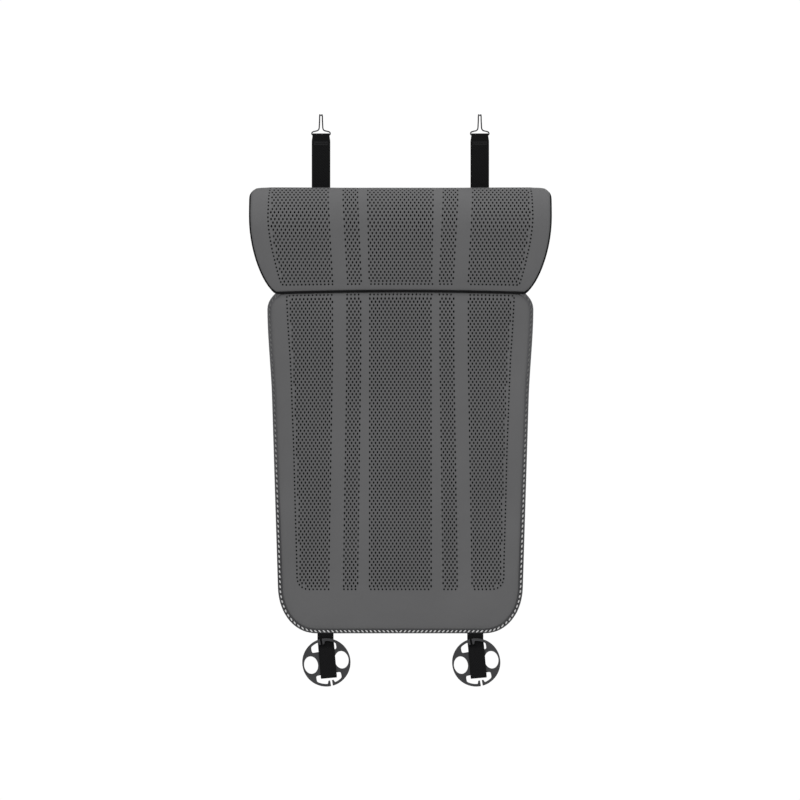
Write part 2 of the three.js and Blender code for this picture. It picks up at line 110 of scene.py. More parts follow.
# Uncoated paper, rolled: white, with no gloss of its own.
paper, shader = new_material("white_paper")
shader.inputs["Base Color"].default_value = linear("#f2f2f2")
shader.inputs["Roughness"].default_value = 0.9
bm = bmesh.new()
bmesh.ops.create_circle(bm, cap_ends=True, segments=96, radius=FLOOR_RADIUS)
bmesh.ops.translate(bm, vec=(0, 0, FLOOR_HEIGHT), verts=bm.verts)
floor_mesh = bpy.data.meshes.new("paper_floor")
bm.to_mesh(floor_mesh)
bm.free()
paper_floor = bpy.data.objects.new("paper_floor", floor_mesh)
bpy.context.scene.collection.objects.link(paper_floor)
floor_mesh.materials.append(paper)


def area_light(name, place, aim, size, power):
    """A rectangular soft light at a place, aimed at another."""
    lamp = bpy.data.lights.new(name, "AREA")
    lamp.shape = "RECTANGLE"
    lamp.size, lamp.size_y = size
    lamp.energy = power
    holder = bpy.data.objects.new(name, lamp)
    holder.location = place
    holder.rotation_euler = (Vector(aim) - Vector(place)).to_track_quat("-Z", "Y").to_euler()
    bpy.context.scene.collection.objects.link(holder)


area_light("key_softbox", (-1.6, -3.2, 2.6), (0, 0, 0.05), (2.4, 2.4), 58)
area_light("fill_softbox", (2.2, -3.0, 0.6), (0, 0, 0), (2.4, 2.4), 26)
area_light("top_softbox", (0, 0.2, 2.8), (0, 0, 0.3), (2.6, 1.2), 24)
area_light("rear_softbox", (1.2, 3.2, 1.4), (0, 0, 0), (2.4, 2.4), 22)

# The room itself: white to the eye, and softer as a light.
world = bpy.data.worlds.new("studio")
bpy.context.scene.world = world
world.use_nodes = True
seen = world.node_tree.nodes.new("ShaderNodeLightPath").outputs["Is Camera Ray"]
glow = world.node_tree.nodes.new("ShaderNodeMapRange")
glow.inputs["To Min"].default_value = ROOM_LIGHT
glow.inputs["To Max"].default_value = ROOM_WHITE
backdrop = world.node_tree.nodes["Background"]
world.node_tree.links.new(seen, glow.inputs["Value"])
world.node_tree.links.new(glow.outputs["Result"], backdrop.inputs["Strength"])
backdrop.inputs["Color"].default_value = linear("#ffffff")
bpy.context.scene.view_settings.view_transform = "Standard"
bpy.context.scene.view_settings.look = "None"

# ---- Back panel: foam
# The panel's padding is a sheet of sponge between the skin and the lining. It is pressed thin
# along the flap's seam and in the edge binding, and swells between them.
SEAM_HEIGHT = 166.0  # sizes in millimetres, as in the panel's drawing
SEAM_HALF = 193
PANEL_FOOT = -361.5
PAD_FRONT = -12.0
BINDING_HOLD = 6.5  # how far in from its edge the binding holds the panel flat
SEAM_HOLD = 1.2
PAD_SWELL = 2.5  # the most that the foam swells between its seams
FOAM_VOXEL = 5.0
FOAM_PRESSURE = 4
FOAM_STEPS = 20
FOAM_MIDDLE = -3.0  # the foam is pressed towards this depth, which lies against the lining


def curve(*points, steps=14):
    """Points along a Bezier curve given by its two ends and the handles between them."""
    return interpolate_bezier(*(Vector((*p, 0)) for p in points), steps + 1)


panel_edge = [
    *curve((130, PANEL_FOOT), (164.8, PANEL_FOOT), (188.7, -330.3), (189.7, -290.5)),
    *curve((198.7, 0), (199.8, 42.5), (206, 98), (206, 140.5)),
    *curve((206, 140.5), (206, 152), (200.2, 158.4), (SEAM_HALF, SEAM_HEIGHT))[1:],
]


def inset_edge(edge, distance):
    """A side's edge, moved in at right angles to itself."""
    moved = []
    for i, point in enumerate(edge):
        along = (edge[min(i + 1, len(edge) - 1)] - edge[max(i - 1, 0)]).normalized()
        moved.append(point + distance * Vector((-along.y, along.x, 0)))
    return moved


def half_width(edge, height):
    """The half-width of a piece at a height, from its side's edge."""
    i = bisect_left([p.y for p in edge], height)
    if i == 0 or i == len(edge):
        return edge[min(i, len(edge) - 1)].x
    low, high = edge[i - 1], edge[i]
    return low.x + (high.x - low.x) * (height - low.y) / (high.y - low.y)


def all_round(edge, top):
    """The closed outline of a piece that is cut off straight at its top."""
    side = [p for p in edge if p.y < top - 0.5]
    side.append(Vector((half_width(edge, top), top, 0)))
    return side + [Vector((-p.x, p.y, 0)) for p in reversed(side)]


def evenly(points, spacing, closed=True, even=False):
    """Points at an even spacing along a line of points."""
    line = points + points[:1] if closed else points
    runs = [(b - a).length for a, b in zip(line, line[1:])]
    count = max(3, round(sum(runs) / spacing))
    count += count % 2 if even else 0
    step = sum(runs) / count
    made, i, passed = [], 0, 0.0
    for k in range(count if closed else count + 1):
        while i < len(runs) - 1 and passed + runs[i] < k * step:
            passed += runs[i]
            i += 1
        made.append(line[i].lerp(line[i + 1], min(1, (k * step - passed) / runs[i])))
    return made


def shifted(points, distance):
    """A closed outline moved in by a distance, with its corners kept sharp."""
    made = []
    for before, point, after in zip(points[-1:] + points[:-1], points, points[1:] + points[:1]):
        one = (point - before).normalized()
        two = (after - point).normalized()
        normal = Vector((-one.y, one.x, 0)) + Vector((-two.y, two.x, 0))
        made.append(point + normal * distance / (1 + max(-0.5, one.dot(two))))
    return made


def ring(bm, points):
    """A ring of vertices through points, in their order."""
    made = bmesh.ops.create_circle(bm, segments=len(points), radius=1)["verts"]
    made = sorted(made, key=lambda v: math.atan2(v.co.y, v.co.x))
    for vertex, point in zip(made, points):
        vertex.co = point
    return made


def edges_of(*rings):
    """The edges along rings of vertices, in the rings' order."""
    found = {}
    for vertices in rings:
        own = set(vertices)
        for vertex in vertices:
            found.update((e, True) for e in vertex.link_edges if e.other_vert(vertex) in own)
    return list(found)


def nearness(points):
    """A tree that finds how far a flat place is from an outline."""
    dense = evenly(points, 1.0)
    tree = KDTree(len(dense))
    for i, point in enumerate(dense):
        tree.insert(point, i)
    tree.balance()
    return lambda place: tree.find(place)[2]


def finished(name, bm, material, body, smooth=True):
    """A bmesh in millimetres as a piece of the cushion, riding on a body."""
    bmesh.ops.scale(bm, vec=(MM, MM, MM), verts=bm.verts)
    mesh = bpy.data.meshes.new(name)
    bm.to_mesh(mesh)
    bm.free()
    for polygon in mesh.polygons:
        polygon.use_smooth = smooth
    mesh.materials.append(material)
    piece = bpy.data.objects.new(name, mesh)
    bpy.context.scene.collection.objects.link(piece)
    if body:
        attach(piece, body)
    return piece


def swollen(node, name, material, body, most, pressed):
    """A copy of a foam layer, pressed thin where it is sewn and swollen by a cloth simulation."""
    bm = bmesh.new()
    bm.from_mesh(bpy.data.objects[node].data)
    bmesh.ops.remove_doubles(bm, verts=bm.verts, dist=1e-6)
    mesh = bpy.data.meshes.new(name)
    bm.to_mesh(mesh)
    bm.free()
    piece = bpy.data.objects.new(name, mesh)
    bpy.context.scene.collection.objects.link(piece)
    bpy.context.view_layer.objects.active = piece
    remesh = piece.modifiers.new("even_mesh", "REMESH")
    remesh.mode = "VOXEL"
    remesh.voxel_size = FOAM_VOXEL * MM
    bpy.ops.object.modifier_apply(modifier=remesh.name)
    for vertex in piece.data.vertices:
        vertex.co = pressed(vertex.co / MM) * MM
    start = [v.co.copy() for v in piece.data.vertices]
    cloth = piece.modifiers.new("swell", "CLOTH")
    cloth.settings.use_pressure = True
    cloth.settings.uniform_pressure_force = FOAM_PRESSURE
    cloth.settings.effector_weights.gravity = 0
    for step in range(1, FOAM_STEPS + 1):
        bpy.context.scene.frame_set(step)
    bpy.ops.object.modifier_apply(modifier=cloth.name)
    bpy.context.scene.frame_set(1)
    for vertex, place in zip(piece.data.vertices, start):
        moved = vertex.co - place
        if moved.length > most:
            vertex.co = place + moved * (most / moved.length)
    subdivision = piece.modifiers.new("rounder", "SUBSURF")
    subdivision.levels = subdivision.render_levels = 1
    bpy.ops.object.modifier_apply(modifier=subdivision.name)
    for polygon in piece.data.polygons:
        polygon.use_smooth = True
    piece.data.materials.clear()
    piece.data.materials.append(material)
    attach(piece, body)
    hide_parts(node)
    return piece


# Polyurethane sponge with cells of about 1 mm, without gloss: dark, plus painted shade where holes
# show it.
foam, shader = new_material("foam")
grain = add_node(foam, "ShaderNodeTexCoord").outputs["Object"]
cells = add_node(foam, "ShaderNodeTexVoronoi", inputs={"Vector": grain, "Scale": 900.0})
# Near black: the sponge's own dark colour, darkened further as painted shade at the bottoms of the
# holes.
shade = add_node(
    foam,
    "ShaderNodeMix",
    {"data_type": "RGBA"},
    {0: cells.outputs["Distance"], 6: linear("#040405"), 7: linear("#0b0b0c")},
)
foam.node_tree.links.new(shade.outputs[2], shader.inputs["Base Color"])
bump = add_node(
    foam, "ShaderNodeBump", inputs={"Height": cells.outputs["Distance"], "Distance": 0.0004}
)
foam.node_tree.links.new(bump.outputs[0], shader.inputs["Normal"])
shader.inputs["Roughness"].default_value = 0.95
shader.inputs["Specular IOR Level"].default_value = 0.1

from_panel_side = nearness(all_round(panel_edge, SEAM_HEIGHT + 60))


def rise(far, start, run):
    """How fully a pad has risen at a distance from its sewn edge: from 0 to 1, steep at first."""
    t = min(1, max(0, (far - start) / run))
    return 1 - (1 - t) ** 2.4


def pressed_panel(place):
    """The foam is pressed thin along the binding and along the seam."""
    side = rise(from_panel_side(Vector((place.x, place.z, 0))), BINDING_HOLD, 14)
    head = rise(SEAM_HEIGHT - place.z, SEAM_HOLD, 13)
    kept = (place.y - FOAM_MIDDLE) * (0.3 + 0.7 * side) * (0.1 + 0.9 * head)
    return Vector((place.x, FOAM_MIDDLE + kept, place.z))


panel_foam = swollen(
    "back_panel_foam", "back_panel_padding", foam, "back_panel", PAD_SWELL * MM, pressed_panel
)

# ---- Back panel: perforated skin
# Grey leatherette, punched with staggered oval holes in five bands with plain strips between
# them. A last row of holes follows the panel's outline, and the edge tucks under the binding.
HOLE_WIDTH = 2.9
HOLE_HEIGHT = 4.3
OUTLINE_HOLE = 3.4  # the height of the holes in the outline's row
SKIN = 1.2
ROW = 4.72  # from a row of holes to the next, which lies half a step across
COLUMN = 2.95
BANDS = (16, 21, 28, 35)  # the columns where the bands of holes end and start
LOWEST_ROW = -293  # the outline's row runs across here, and the first row comes above it
OUTLINE_STEP = 5.95
OUTLINE_BAND = 1.95  # half the width of the strip that holds the outline's row
STRIP_GAP = 0.3  # the leather that stays between that strip and the cells
CELL_GAP = 0.35
CLEAR = 0.4  # the skin and the lining stay this far off the foam
PLAIN_EDGE = 3.4
PANEL_TUCK = 6.2  # how far in from the panel's edge the skin goes under the binding
ARCH = 3.2  # how far the seam's middle is drawn up
ARCH_REACH = 45

panel_row_line = [
    *curve((142, LOWEST_ROW), (152, LOWEST_ROW), (159.6, -286), (160, -275)),
    *(Vector((*p, 0)) for p in ((160.4, -250), (162.7, -170), (165, -78), (168.5, 16))),
    *(Vector((*p, 0)) for p in ((170.3, 62), (173.5, 108), (176.2, 160.5))),
]


def band_knots(height):
    """Where the bands of holes lie at a height: they move apart a little towards the foot."""
    t = min(1, max(0, (62 - height) / 326))
    side = 105.4 + 5.6 * t
    knots = [(0, 0), (16, 47.3), (21, 61.5 + 5 * t), (28, 82.4 + 5.2 * t)]
    return knots + [(35, side), (36, side + COLUMN)]


def column_place(knots, column):
    """How far across the piece a column of holes is."""
    for (low, near), (high, far) in zip(knots, knots[1:]):
        if abs(column) <= high:
            break
    return math.copysign(near + (far - near) * (abs(column) - low) / (high - low), column)


def punched_sheet(edge, top, row_line, last_row, row_step, column_step, knots_at):
    """A flat sheet with its holes, in (across, up), which is yet to be laid on its pad."""
    bm = bmesh.new()
    hole = bm.faces.layers.int.new("hole")
    columns = math.ceil(max(p.x for p in edge) / column_step) + 3
    low, high = edge[0].y, row_line[-1].y
    rows_below = math.ceil((last_row - low) / row_step)
    rows = rows_below + math.ceil((top - last_row) / row_step) + 2

    # Bricks, two columns wide, whose corners are shifted to make six-sided cells.
    bmesh.ops.create_grid(bm, x_segments=2 * columns, y_segments=rows, size=1)
    for vertex in bm.verts:
        vertex.co = (round(vertex.co.x * columns), round((vertex.co.y + 1) * rows / 2), 0)
    joined = []
    for crossing in bm.edges:
        one, two = (v.co for v in crossing.verts)
        odd = (one.x + min(one.y, two.y)) % 2 == 1
        if one.x == two.x and odd and len(crossing.link_faces) == 2:
            joined.append(crossing)
    bmesh.ops.dissolve_edges(bm, edges=joined, use_verts=False)
    lean = column_step**2 / (2 * row_step)
    for vertex in bm.verts:
        column, row = round(vertex.co.x), round(vertex.co.y)
        height = last_row + (row - rows_below - 0.5) * row_step
        height += lean if (column + row) % 2 == 0 else -lean
        vertex.co = (column_place(knots_at(height), column), height, 0)

    # Cells make way for the edge and for the outline's own row of holes.
    from_edge = nearness(all_round(edge, top))
    row_outline = all_round(row_line, high + 0.6)
    row_tree = KDTree(len(evenly(row_outline, 0.5)))
    for i, point in enumerate(evenly(row_outline, 0.5)):
        row_tree.insert(point, i)
    row_tree.balance()
    inside = {}
    for vertex in bm.verts:
        x, y, _ = vertex.co
        within = low < y < top and abs(x) < half_width(edge, y)
        inside[vertex] = within and from_edge(vertex.co) > PLAIN_EDGE
    dropped = []
    for face in bm.faces:
        centre = face.calc_center_median()
        nearest, _, far = row_tree.find(centre)
        way = (centre - nearest).normalized()
        reach = math.hypot(way.x * HOLE_WIDTH, way.y * HOLE_HEIGHT) / 2
        reach = OUTLINE_BAND + CELL_GAP + reach
        if len(face.verts) != 6 or far < reach or not all(inside[v] for v in face.verts):
            dropped.append(face)
            continue
        y = centre.y
        within = row_line[0].y < y < high and abs(centre.x) < half_width(row_line, y)
        face[hole] = int(within and in_band(centre, knots_at))
    bmesh.ops.delete(bm, geom=dropped, context="FACES")
    for vertex in bm.verts:
        nearest, _, far = row_tree.find(vertex.co)
        if far < OUTLINE_BAND + STRIP_GAP:
            way = (vertex.co - nearest).normalized()
            vertex.co = nearest + way * (OUTLINE_BAND + STRIP_GAP)

    # The outline's row: a strip of cells, each with six corners.
    middle = evenly(row_outline, OUTLINE_STEP / 2, even=True)
    inner = ring(bm, shifted(middle, OUTLINE_BAND))
    outer = ring(bm, shifted(middle, -OUTLINE_BAND))
    strip = bmesh.ops.bridge_loops(bm, edges=edges_of(inner, outer))
    odd = set(inner[1::2])
    crossings = [e for e in strip["edges"] if any(v in odd for v in e.verts)]
    bmesh.ops.dissolve_edges(bm, edges=crossings, use_verts=False)
    for face in bm.faces:
        centre = face.calc_center_median()
        if len(face.verts) == 6 and row_tree.find(centre)[2] < 1:
            face[hole] = int(in_band(centre, knots_at))

    # The plain edge, and the leather between it, the cells and the strip.
    rim = evenly(all_round(edge, top), 8)
    loops = [ring(bm, shifted(rim, inset)) for inset in (0, 1.2, 2.6)]
    for one, two in zip(loops, loops[1:]):
        bmesh.ops.bridge_loops(bm, edges=edges_of(one, two))
    outermost = set(edges_of(loops[0]))
    gaps = [e for e in bm.edges if len(e.link_faces) == 1 and e not in outermost]
    bmesh.ops.triangle_fill(bm, edges=gaps, use_beauty=True, normal=(0, 0, 1))

    # Each marked cell gets an oval hole.
    holes = [f for f in bm.faces if f[hole]]
    bmesh.ops.inset_individual(bm, faces=holes, thickness=0.3, use_even_offset=True)
    for face in holes:
        centre = face.calc_center_median()
        spokes = [v.co - centre for v in face.verts]
        angles = [math.atan2(s.y, s.x) for s in spokes]
        sense = 1 if (angles[1] - angles[0]) % math.tau < math.pi else -1
        step = sense * math.tau / len(angles)
        lag = [
            (angle - angles[0] - k * step + math.pi) % math.tau - math.pi
            for k, angle in enumerate(angles)
        ]
        start = angles[0] + sum(lag) / len(lag)
        tall = OUTLINE_HOLE if row_tree.find(centre)[2] < 1 else HOLE_HEIGHT
        for k, vertex in enumerate(face.verts):
            turn = start + k * step
            spoke = Vector((HOLE_WIDTH * math.cos(turn), tall * math.sin(turn), 0))
            vertex.co = centre + spoke / 2
        for side in face.edges:
            side.smooth = False
    bmesh.ops.delete(bm, geom=holes, context="FACES")
    bm.normal_update()
    bmesh.ops.reverse_faces(bm, faces=[f for f in bm.faces if f.normal.z < 0])
    return bm


def in_band(centre, knots_at):
    """Whether a cell lies in one of the bands of holes."""
    place = dict(knots_at(centre.y))
    middle, start, end, side = (place[column] for column in BANDS)
    x = abs(centre.x)
    return x < middle + 1.5 or start - 1.5 < x < end + 1.5 or x > side - 1.5


def seam_arch(x, height):
    """The seam's middle is drawn up a little, and the leather near it goes with it."""
    near = max(0, 1 - abs(height - SEAM_HEIGHT) / ARCH_REACH)
    return ARCH * (1 - (x / SEAM_HALF) ** 2) * near * near


panel_tree = BVHTree.FromObject(panel_foam, bpy.context.evaluated_depsgraph_get())


def panel_front(x, height):
    """A place on the front of the panel's skin."""
    side = rise(from_panel_side(Vector((x, height, 0))), BINDING_HOLD, 12)
    head = rise(SEAM_HEIGHT - height, SEAM_HOLD, 11)
    hit = panel_tree.ray_cast(Vector((x, -60, height)) * MM, Vector((0, 1, 0)))[0]
    held = 0.64 + 0.1 * min(1, max(0, (height + 250) / 300))
    y = PAD_FRONT * (held + (1 - held) * side) * (0.45 + 0.55 * head)
    if hit:
        y = min(y, hit.y / MM - SKIN - CLEAR)
    return Vector((x, y, height + seam_arch(x, height)))


# Leatherette, which is PVC on a knitted cloth, embossed with pebbles of about 0.9 mm: a soft low
# sheen, and slow changes of tone along it.
leatherette, shader = new_material("leatherette")
grain = add_node(leatherette, "ShaderNodeTexCoord").outputs["Object"]
pebbles = add_node(leatherette, "ShaderNodeTexVoronoi", inputs={"Vector": grain, "Scale": 1100.0})
clouds = add_node(
    leatherette, "ShaderNodeTexNoise", inputs={"Vector": grain, "Scale": 9.0, "Detail": 3.0}
)
shade = add_node(
    leatherette,
    "ShaderNodeMix",
    {"data_type": "RGBA"},
    {0: clouds.outputs["Fac"], 6: linear("#5b5b5c"), 7: linear("#676768")},
)
leatherette.node_tree.links.new(shade.outputs[2], shader.inputs["Base Color"])
bump = add_node(
    leatherette,
    "ShaderNodeBump",
    inputs={"Height": pebbles.outputs["Distance"], "Distance": 0.00025, "Strength": 0.5},
)
leatherette.node_tree.links.new(bump.outputs[0], shader.inputs["Normal"])
shader.inputs["Roughness"].default_value = 0.6
shader.inputs["Specular IOR Level"].default_value = 0.35

bm = punched_sheet(
    inset_edge(panel_edge, PANEL_TUCK),
    SEAM_HEIGHT - 0.8,
    panel_row_line,
    LOWEST_ROW + ROW,
    ROW,
    COLUMN,
    band_knots,
)
for vertex in bm.verts:
    vertex.co = panel_front(vertex.co.x, vertex.co.y)
panel_skin = finished("back_panel_leatherette", bm, leatherette, "back_panel")
wall = panel_skin.modifiers.new("leather", "SOLIDIFY")
wall.thickness = SKIN * MM
wall.offset = -1
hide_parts("back_panel_skin")

# ---- Back panel: lining
# A flat knitted cloth over the whole rear, held under the binding. It lies on the seat.
LINING = 0.9
LINING_DEPTH = -3.6  # where the lining is drawn in to, under its seams
LINING_TUCK = 5.5
SHEET_CELL = 8
SHEET_INSETS = (0, 2, 5)

# Polyester tricot, knitted in ribs: matt, with a faint bloom. The ribs are 1.2 mm apart.
lining, shader = new_material("lining")
grain = add_node(lining, "ShaderNodeTexCoord").outputs["Object"]
ribs = add_node(
    lining,
    "ShaderNodeTexWave",
    {"bands_direction": "X"},
    {"Vector": grain, "Scale": 260.0, "Distortion": 0.6, "Detail": 1.0, "Detail Scale": 40.0},
)
stitches = add_node(
    lining,
    "ShaderNodeTexWave",
    {"bands_direction": "Z"},
    {"Vector": grain, "Scale": 380.0, "Distortion": 0.4},
)
knit = add_node(
    lining,
    "ShaderNodeMath",
    {"operation": "MULTIPLY"},
    {0: ribs.outputs[1], 1: stitches.outputs[1]},
)
shade = add_node(
    lining,
    "ShaderNodeMix",
    {"data_type": "RGBA"},
    {0: knit.outputs[0], 6: linear("#232325"), 7: linear("#434346")},
)
lining.node_tree.links.new(shade.outputs[2], shader.inputs["Base Color"])
bump = add_node(lining, "ShaderNodeBump", inputs={"Height": knit.outputs[0], "Distance": 0.0004})
lining.node_tree.links.new(bump.outputs[0], shader.inputs["Normal"])
shader.inputs["Roughness"].default_value = 0.95
shader.inputs["Sheen Weight"].default_value = 0.25
shader.inputs["Sheen Roughness"].default_value = 0.5


def plain_sheet(edge, top):
    """A flat sheet without holes, in (across, up): square cells inside loops along its edge."""
    bm = bmesh.new()
    low = edge[0].y
    half = max(p.x for p in edge)
    across, up = math.ceil(half / SHEET_CELL), math.ceil((top - low) / SHEET_CELL)
    bmesh.ops.create_grid(bm, x_segments=2 * across, y_segments=up, size=1)
    bmesh.ops.scale(bm, vec=(half, (top - low) / 2, 1), verts=bm.verts)
    bmesh.ops.translate(bm, vec=(0, (low + top) / 2, 0), verts=bm.verts)
    from_edge = nearness(all_round(edge, top))
    keep = {
        v: low < v.co.y < top
        and abs(v.co.x) < half_width(edge, v.co.y)
        and from_edge(v.co) > SHEET_INSETS[-1] + 2
        for v in bm.verts
    }
    outside = [f for f in bm.faces if not all(keep[v] for v in f.verts)]
    bmesh.ops.delete(bm, geom=outside, context="FACES")
    rim = evenly(all_round(edge, top), 8)
    loops = [ring(bm, shifted(rim, inset)) for inset in SHEET_INSETS]
    for one, two in zip(loops, loops[1:]):
        bmesh.ops.bridge_loops(bm, edges=edges_of(one, two))
    outermost = set(edges_of(loops[0]))
    gaps = [e for e in bm.edges if len(e.link_faces) <= 1 and e not in outermost]
    bmesh.ops.triangle_fill(bm, edges=gaps, use_beauty=True, normal=(0, 0, 1))
    bm.normal_update()
    bmesh.ops.reverse_faces(bm, faces=[f for f in bm.faces if f.normal.z < 0])
    return bm


def panel_rear(x, height):
    """A place on the lining: flat on the seat, and drawn in where it is sewn."""
    side = rise(from_panel_side(Vector((x, height, 0))), 5, 9)
    head = rise(SEAM_HEIGHT - height, SEAM_HOLD, 9)
    y = LINING_DEPTH - LINING_DEPTH * min(side, head)
    return Vector((x, y, height + seam_arch(x, height)))


bm = plain_sheet(inset_edge(panel_edge, LINING_TUCK), SEAM_HEIGHT - SEAM_HOLD)
for vertex in bm.verts:
    vertex.co = panel_rear(vertex.co.x, vertex.co.y)
bmesh.ops.reverse_faces(bm, faces=bm.faces)
panel_lining = finished("back_panel_lining", bm, lining, "back_panel")
wall = panel_lining.modifiers.new("cloth", "SOLIDIFY")
wall.thickness = LINING * MM
wall.offset = -1
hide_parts("back_panel_backing")

# ---- Back panel: edge binding and its stitching
# A tape of the same leatherette is folded over the panel's edge. One row of thick thread holds it,
# sunk into a groove, with stitches that slant across the tape round the foot.
STITCH_INSET = 3.5
STITCH_STEP = 7.8  # along the sides
FOOT_STEP = 6.4  # along the foot
STITCH_LENGTH = 5.4
FOOT_LENGTH = 7.0
STITCH_WIDTH = 2.2
STITCH_DEPTH = -8.5  # the thread's middle, in the tape's groove
STITCH_SLANT = 42  # degrees to the tape
STITCH_FOLLOW = 0.37  # how far a stitch turns with the tape
BINDING_END = (187.8, 165.8)  # where the tape meets the seam


def sweep(bm, profile, frames, closed=False):
    """Draws a closed profile of (across, out) points along frames of (middle, across, out)."""

    def lay(vertices, frame_now):
        middle, across, out = frame_now
        for vertex, (a, o) in zip(vertices, profile):
            vertex.co = middle + across * a + out * o

    first = ring(bm, [Vector((a, o, 0)) for a, o in profile])
    lay(first, frames[0])
    sides = edges_of(first)
    vertices = first
    for frame_now in frames[1:]:
        made = bmesh.ops.extrude_edge_only(bm, edges=sides)["geom"]
        fresh = {g for g in made if isinstance(g, bmesh.types.BMVert)}
        vertices = [
            next(e.other_vert(v) for e in v.link_edges if e.other_vert(v) in fresh)
            for v in vertices
        ]
        fresh_edges = [g for g in made if isinstance(g, bmesh.types.BMEdge)]
        sides = [e for e in fresh_edges if set(e.verts) <= fresh]
        lay(vertices, frame_now)
    if closed:
        bmesh.ops.bridge_loops(bm, edges=edges_of(first) + sides)
    else:
        bmesh.ops.contextual_create(bm, geom=first)
        bmesh.ops.contextual_create(bm, geom=vertices)


def flat_frames(points):
    """Frames along an open line on the panel: across points inwards, and out is to the front."""
    frames = []
    for i, point in enumerate(points):
        along = (points[min(i + 1, len(points) - 1)] - points[max(i - 1, 0)]).normalized()
        across = Vector((-along.y, 0, along.x))
        frames.append((Vector((point.x, 0, point.y)), across, Vector((0, -1, 0))))
    return frames


binding_line = inset_edge(panel_edge, STITCH_INSET)
binding_line = [p for p in binding_line if p.y < SEAM_HEIGHT - 1.5]
binding_line.append(Vector((*BINDING_END, 0)))
binding_line = list(reversed([Vector((-p.x, p.y, 0)) for p in binding_line])) + binding_line
binding_line = evenly(binding_line, 5, closed=False)

# The tape's section, from its outer rear corner round the front, with the groove in the middle.
TAPE = (
    *((-2.2, -0.1), (-3.0, 0.5), (-3.5, 1.6), (-3.6, 3.4), (-3.5, 6.0), (-3.1, 7.6)),
    *((-2.3, 8.7), (-1.6, 8.8), (-1.1, 8.3), (0.0, 8.0), (1.1, 8.3), (1.7, 9.0)),
    *((2.5, 9.2), (3.2, 8.8), (3.6, 8.0), (3.6, 2.4), (3.2, 0.6), (2.4, -0.1)),
)

# The same PVC cloth, cut as a tape. Its colour holds painted shade, darker in its groove, and
# painted light, lighter towards the top than at the foot; it is also lighter along its bends.
binding, shader = new_material("edge_binding")
grain = add_node(binding, "ShaderNodeTexCoord").outputs["Object"]
pebbles = add_node(binding, "ShaderNodeTexVoronoi", inputs={"Vector": grain, "Scale": 1100.0})
height = add_node(binding, "ShaderNodeSeparateXYZ", inputs={0: grain})
# Painted light: a mask that makes the tape lighter towards the top and darker towards the foot.
painted_top_light = add_node(
    binding,
    "ShaderNodeMapRange",
    inputs={"Value": height.outputs["Z"], "From Min": -0.25, "From Max": 0.06},
)
bends = add_node(binding, "ShaderNodeNewGeometry").outputs["Pointiness"]
# Painted shade: a mask that is low where the tape is hollow, in its groove, and high along its
# bends.
painted_groove_shade = add_node(
    binding,
    "ShaderNodeMapRange",
    inputs={"Value": bends, "From Min": 0.47, "From Max": 0.56, "To Min": 0.0, "To Max": 1.0},
)
# The painted shade's colours in the groove, graded by the painted light from the foot to the top.
groove_shade_colours = add_node(
    binding,
    "ShaderNodeMix",
    {"data_type": "RGBA"},
    {0: painted_top_light.outputs[0], 6: linear("#242426"), 7: linear("#4c4c4e")},
)
# The colours along the bends, graded by the same painted light from the foot to the top.
edge = add_node(
    binding,
    "ShaderNodeMix",
    {"data_type": "RGBA"},
    {0: painted_top_light.outputs[0], 6: linear("#3f3f41"), 7: linear("#59595b")},
)
shade = add_node(
    binding,
    "ShaderNodeMix",
    {"data_type": "RGBA"},
    {0: painted_groove_shade.outputs[0], 6: groove_shade_colours.outputs[2], 7: edge.outputs[2]},
)
binding.node_tree.links.new(shade.outputs[2], shader.inputs["Base Color"])
bump = add_node(
    binding,
    "ShaderNodeBump",
    inputs={"Height": pebbles.outputs["Distance"], "Distance": 0.00025, "Strength": 0.5},
)
binding.node_tree.links.new(bump.outputs[0], shader.inputs["Normal"])
shader.inputs["Roughness"].default_value = 0.6

bm = bmesh.new()
sweep(bm, TAPE, flat_frames(binding_line))
bmesh.ops.recalc_face_normals(bm, faces=bm.faces)
panel_binding = finished("back_panel_binding", bm, binding, "back_panel")
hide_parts("back_panel_edge_binding")

# Twisted polyester thread: soft, with its strands showing as a fine slant. It is paler round the
# foot, where it lies more open to the light.
thread, shader = new_material("edge_thread")
grain = add_node(thread, "ShaderNodeTexCoord").outputs["Object"]
strands = add_node(
    thread,
    "ShaderNodeTexWave",
    {"bands_direction": "DIAGONAL"},
    {"Vector": grain, "Scale": 420.0, "Distortion": 1.0},
)
height = add_node(thread, "ShaderNodeSeparateXYZ", inputs={0: grain})
low_part = add_node(
    thread,
    "ShaderNodeMapRange",
    inputs={"Value": height.outputs["Z"], "From Min": 0.0, "From Max": -0.22},
)
pale = add_node(
    thread,
    "ShaderNodeMix",
    {"data_type": "RGBA"},
    {0: low_part.outputs[0], 6: linear("#7c7c7c"), 7: linear("#f2f2f2")},
)
shade = add_node(
    thread,
    "ShaderNodeMix",
    {"data_type": "RGBA", "blend_type": "MULTIPLY"},
    {0: 0.35, 6: pale.outputs[2], 7: strands.outputs[0]},
)
thread.node_tree.links.new(shade.outputs[2], shader.inputs["Base Color"])
bump = add_node(thread, "ShaderNodeBump", inputs={"Height": strands.outputs[1], "Distance": 0.0002})
thread.node_tree.links.new(bump.outputs[0], shader.inputs["Normal"])
shader.inputs["Roughness"].default_value = 0.7


def stitch(bm, middle, along, out, length, width):
    """One stitch: a short thread whose ends dive into the cloth."""
    side = out.cross(along)
    turn = Matrix((along, side, out)).transposed().to_4x4()
    made = bmesh.ops.create_uvsphere(bm, u_segments=8, v_segments=6, radius=1)["verts"]
    for vertex in made:
        x, y, z = vertex.co
        vertex.co = (z * length / 2, y * width / 2, x * width / 2 - 0.12 * length * z * z)
    bmesh.ops.transform(bm, matrix=Matrix.Translation(middle) @ turn, verts=made)


